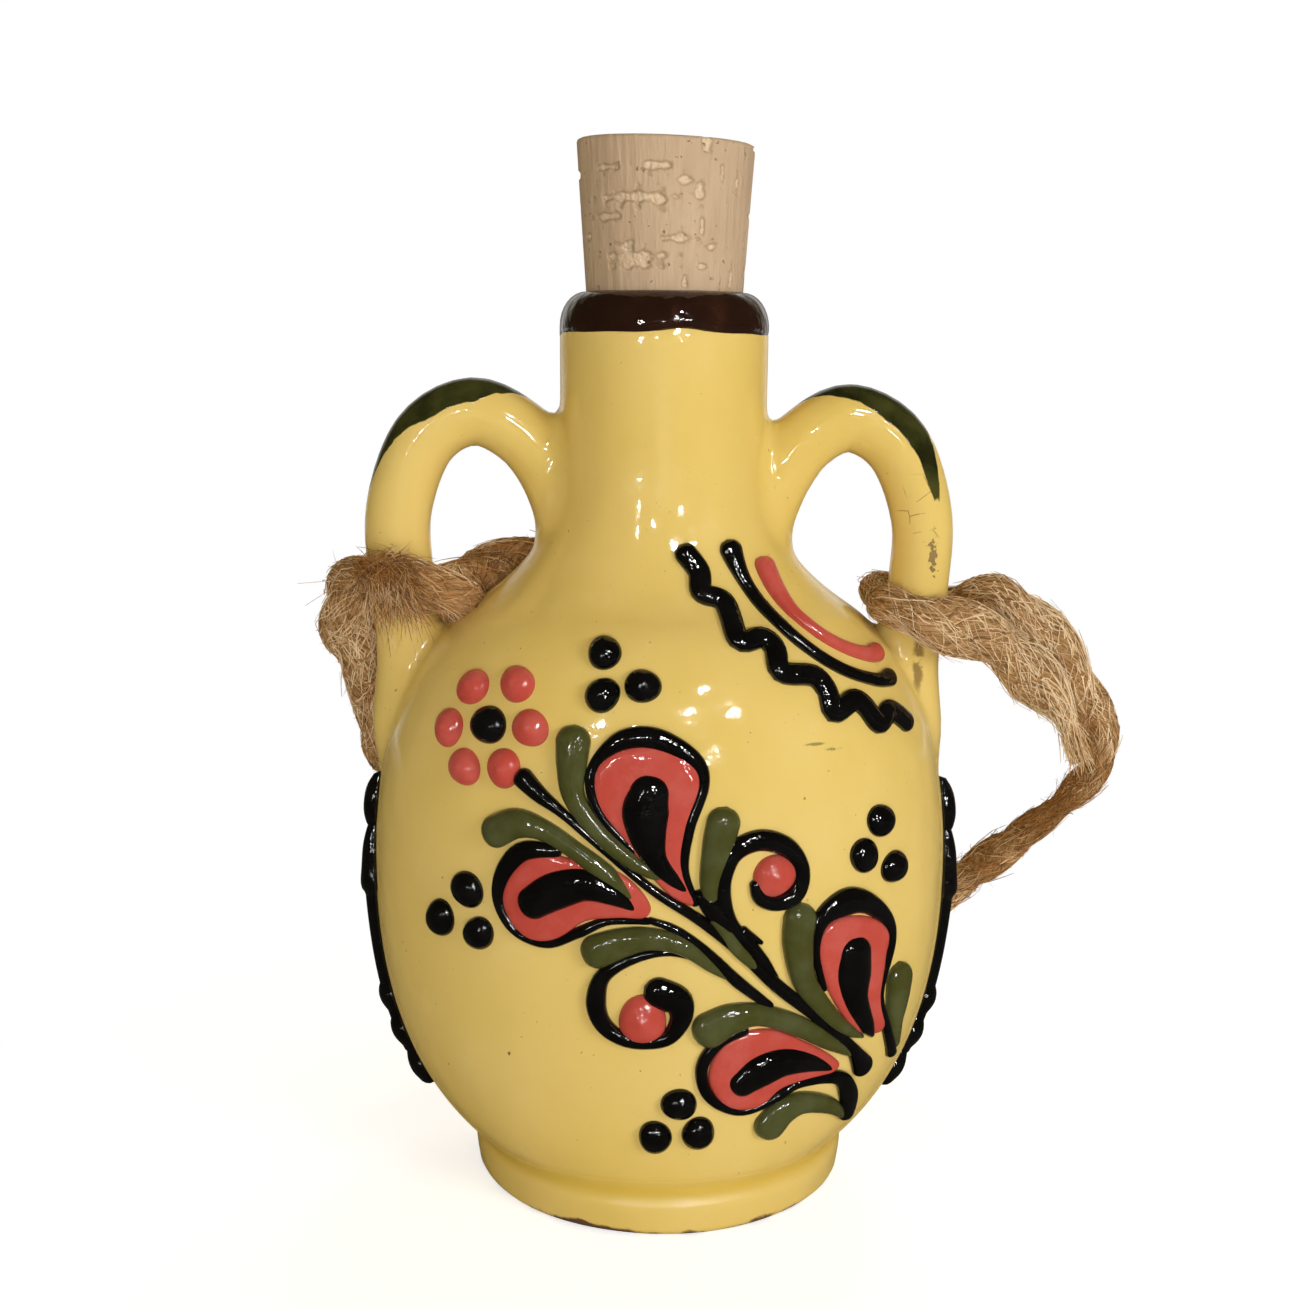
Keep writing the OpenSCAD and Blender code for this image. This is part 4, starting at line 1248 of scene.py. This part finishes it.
def make_ornament():
    chance = np.random.default_rng(3)
    paints = {slot: slip(slot, *looks) for slot, looks in SLIPS.items()}

    def strokes(name, lines, slot, node, flat=1.0):
        pile = Pile()
        for points in lines:
            stroke(pile, points, flat)
        pile.make(name, paints[slot], (node,))

    def drops(name, places, radius, slot, node, point):
        pile = Pile()
        for u, v, *own in places:
            dome(pile, u, v, own[0] if own else radius, chance, point)
        pile.make(name, paints[slot], (node,))

    fills = Pile()
    for outline in DROP_POOLS:
        pool(fills, outline)
    fills.make("red_pools", paints["red_slip"], ("drop_fills",))
    strokes("drop_lines", DROP_LOOPS, "black_slip", "drop_outlines")
    strokes("drop_hearts", DROP_CORES, "black_slip", "drop_cores", 1.15)
    strokes("stem_lines", STEMS, "black_slip", "stem")
    strokes("tendrils", CURLS, "black_slip", "curls")
    strokes("green_leaves", LEAVES, "green_slip", "leaves", 1.1)
    drops("red_berries", BERRIES, 2.7, "red_slip", "berries", 0.25)
    drops("red_petals", PETALS, 2.6, "red_slip", "flower_petals", 0.15)
    drops("black_eye", [EYE], 2.75, "black_slip", "flower_eye", 0.1)
    drops("black_dots", DOTS, 2.4, "black_slip", "dot_clusters", 0.1)
    strokes("wave", [[(u + 0.3, v - 0.3, 1.6) for u, v in WAVE]], "black_slip", "shoulder_wave")
    strokes("black_line", [BLACK_LINE], "black_slip", "shoulder_line")
    strokes("red_line", [RED_LINE], "red_slip", "shoulder_red_line")
    for name, side in (("left_sprig", -1), ("right_sprig", 1)):
        lines = [[(side * u, v + SPRIG_RISE[side], half) for u, v, half in points] for points in SPRIG]
        strokes(name + "_slip", lines, "black_slip", name, 1.4)


# Floor, light and surroundings

def background_share(nodes, rays, near, far):
    """How far a ray sees the white background: gloss sees it behind the object, with a dim room in front."""
    gloss = nodes.times(rays["Is Glossy Ray"], nodes.ramp(nodes.along("Y"), near, far))
    return nodes.larger(nodes.larger(rays["Is Camera Ray"], rays["Is Transmission Ray"]), gloss)


FLOOR_RADIUS = 1.5
FLOOR_FADE = (0.04, 0.12)
FLOOR_GREY = 0.88
FLOOR_GREY_IN_GLOSS = 0.1
FLOOR_GLOW = 0.68
FLOOR_GLOW_TINT = (0.96, 0.97, 1, 1)


def make_floor():
    """A round floor that keeps the shadow near the object and fades into the white background."""
    sides = 96
    turn = np.arange(sides) * TURN / sides
    rim = FLOOR_RADIUS * np.stack([np.cos(turn), np.sin(turn), 0 * turn], axis=1)
    mesh = bpy.data.meshes.new("floor")
    mesh.from_pydata(rim.tolist(), [], [list(range(sides))])
    paint = Paint("floor", 0.9)
    paint.constant("Specular IOR Level", 0.0)
    paint.constant("Emission Color", FLOOR_GLOW_TINT)
    rays = paint.node("ShaderNodeLightPath").outputs
    glow = paint.ramp(rays["Is Camera Ray"], 0, 1, 0, FLOOR_GLOW)
    paint.set(paint.shader.inputs["Emission Strength"], glow)
    paint.colour(paint.ramp(rays["Is Glossy Ray"], 0, 1, FLOOR_GREY, FLOOR_GREY_IN_GLOSS))
    fade = paint.ramp(paint.length(paint.place), *FLOOR_FADE)
    share = paint.times(fade, background_share(paint, rays, 0.3, 1.2))
    white = paint.node("ShaderNodeEmission").outputs[0]
    mixed = paint.node("ShaderNodeMixShader", {0: share, 1: paint.shader.outputs[0], 2: white})
    paint.set(paint.tree.nodes["Material Output"].inputs["Surface"], mixed.outputs[0])
    mesh.materials.append(paint.material)
    floor = bpy.data.objects.new("floor", mesh)
    bpy.context.scene.collection.objects.link(floor)


AMBIENT = 0.34
ROOM = 0.05
WARM = (1.0, 0.86, 0.54)
WHITE = (1, 1, 1)


def make_world():
    """White to the camera, a warm dim room to everything else."""
    world = bpy.data.worlds.new("surroundings")
    bpy.context.scene.world = world
    nodes = Nodes(world, "Generated")
    background = nodes.tree.nodes["Background"]
    rays = nodes.node("ShaderNodeLightPath").outputs
    share = background_share(nodes, rays, 0.55, 1.0)
    room = nodes.ramp(rays["Is Glossy Ray"], 0, 1, AMBIENT, ROOM)
    nodes.set(background.inputs["Strength"], nodes.larger(share, room))
    nodes.set(background.inputs["Color"], nodes.mix(share, WARM, WHITE))


# Lamps that light the object: place, size and power
LAMPS = {"key": ((0.58, -0.54, 0.24), 0.3, 2.3), "fill": ((0.0, -0.9, 0.05), 0.3, 4.0),
         "back": ((0.2, 0.7, 0.5), 0.5, 1.7)}
# Small lamps that only gleam in its gloss: size, power and places
BULBS = {"bulb": (0.05, 1.6, [(0.226, -0.754, 0.556), (0.373, -0.78, 0.40), (0.156, -0.854, 0.396)]),
         "small_bulb": (0.03, 0.4, [(-0.378, -0.83, 0.177), (0.27, -0.87, 0.176), (-0.127, -0.893, 0.25),
                                    (-0.338, -0.828, 0.288)])}
LAMPS_AIM = (0, 0, 0.07)


def add_lamp(name, place, size, power, gleams):
    """A round lamp that either lights the object or only gleams in its gloss."""
    lamp = bpy.data.lights.new(name, "AREA")
    lamp.shape = "DISK"
    lamp.size = size
    lamp.energy = power
    thing = bpy.data.objects.new(name, lamp)
    thing.location = place
    way = np.array(LAMPS_AIM) - np.array(place)
    tilt = math.acos(-way[2] / np.linalg.norm(way))
    thing.rotation_euler = (tilt, 0, math.atan2(way[1], way[0]) - math.pi / 2)
    thing.visible_glossy = gleams
    thing.visible_diffuse = not gleams
    bpy.context.scene.collection.objects.link(thing)


def make_light():
    for name, (place, size, power) in LAMPS.items():
        add_lamp(name, place, size, power, gleams=False)
    for name, (size, power, places) in BULBS.items():
        for i, place in enumerate(places):
            add_lamp(f"{name}_{i}", place, size, power, gleams=True)


make_camera()
make_rope(jute_paint(), fibre_paint())
make_flask(yellow_glaze())
make_foot(foot_glaze())
make_lip(brown_glaze())
make_cork(cork_paint())
make_ornament()
make_floor()
make_world()
make_light()
bpy.context.scene.view_settings.view_transform = "Standard"
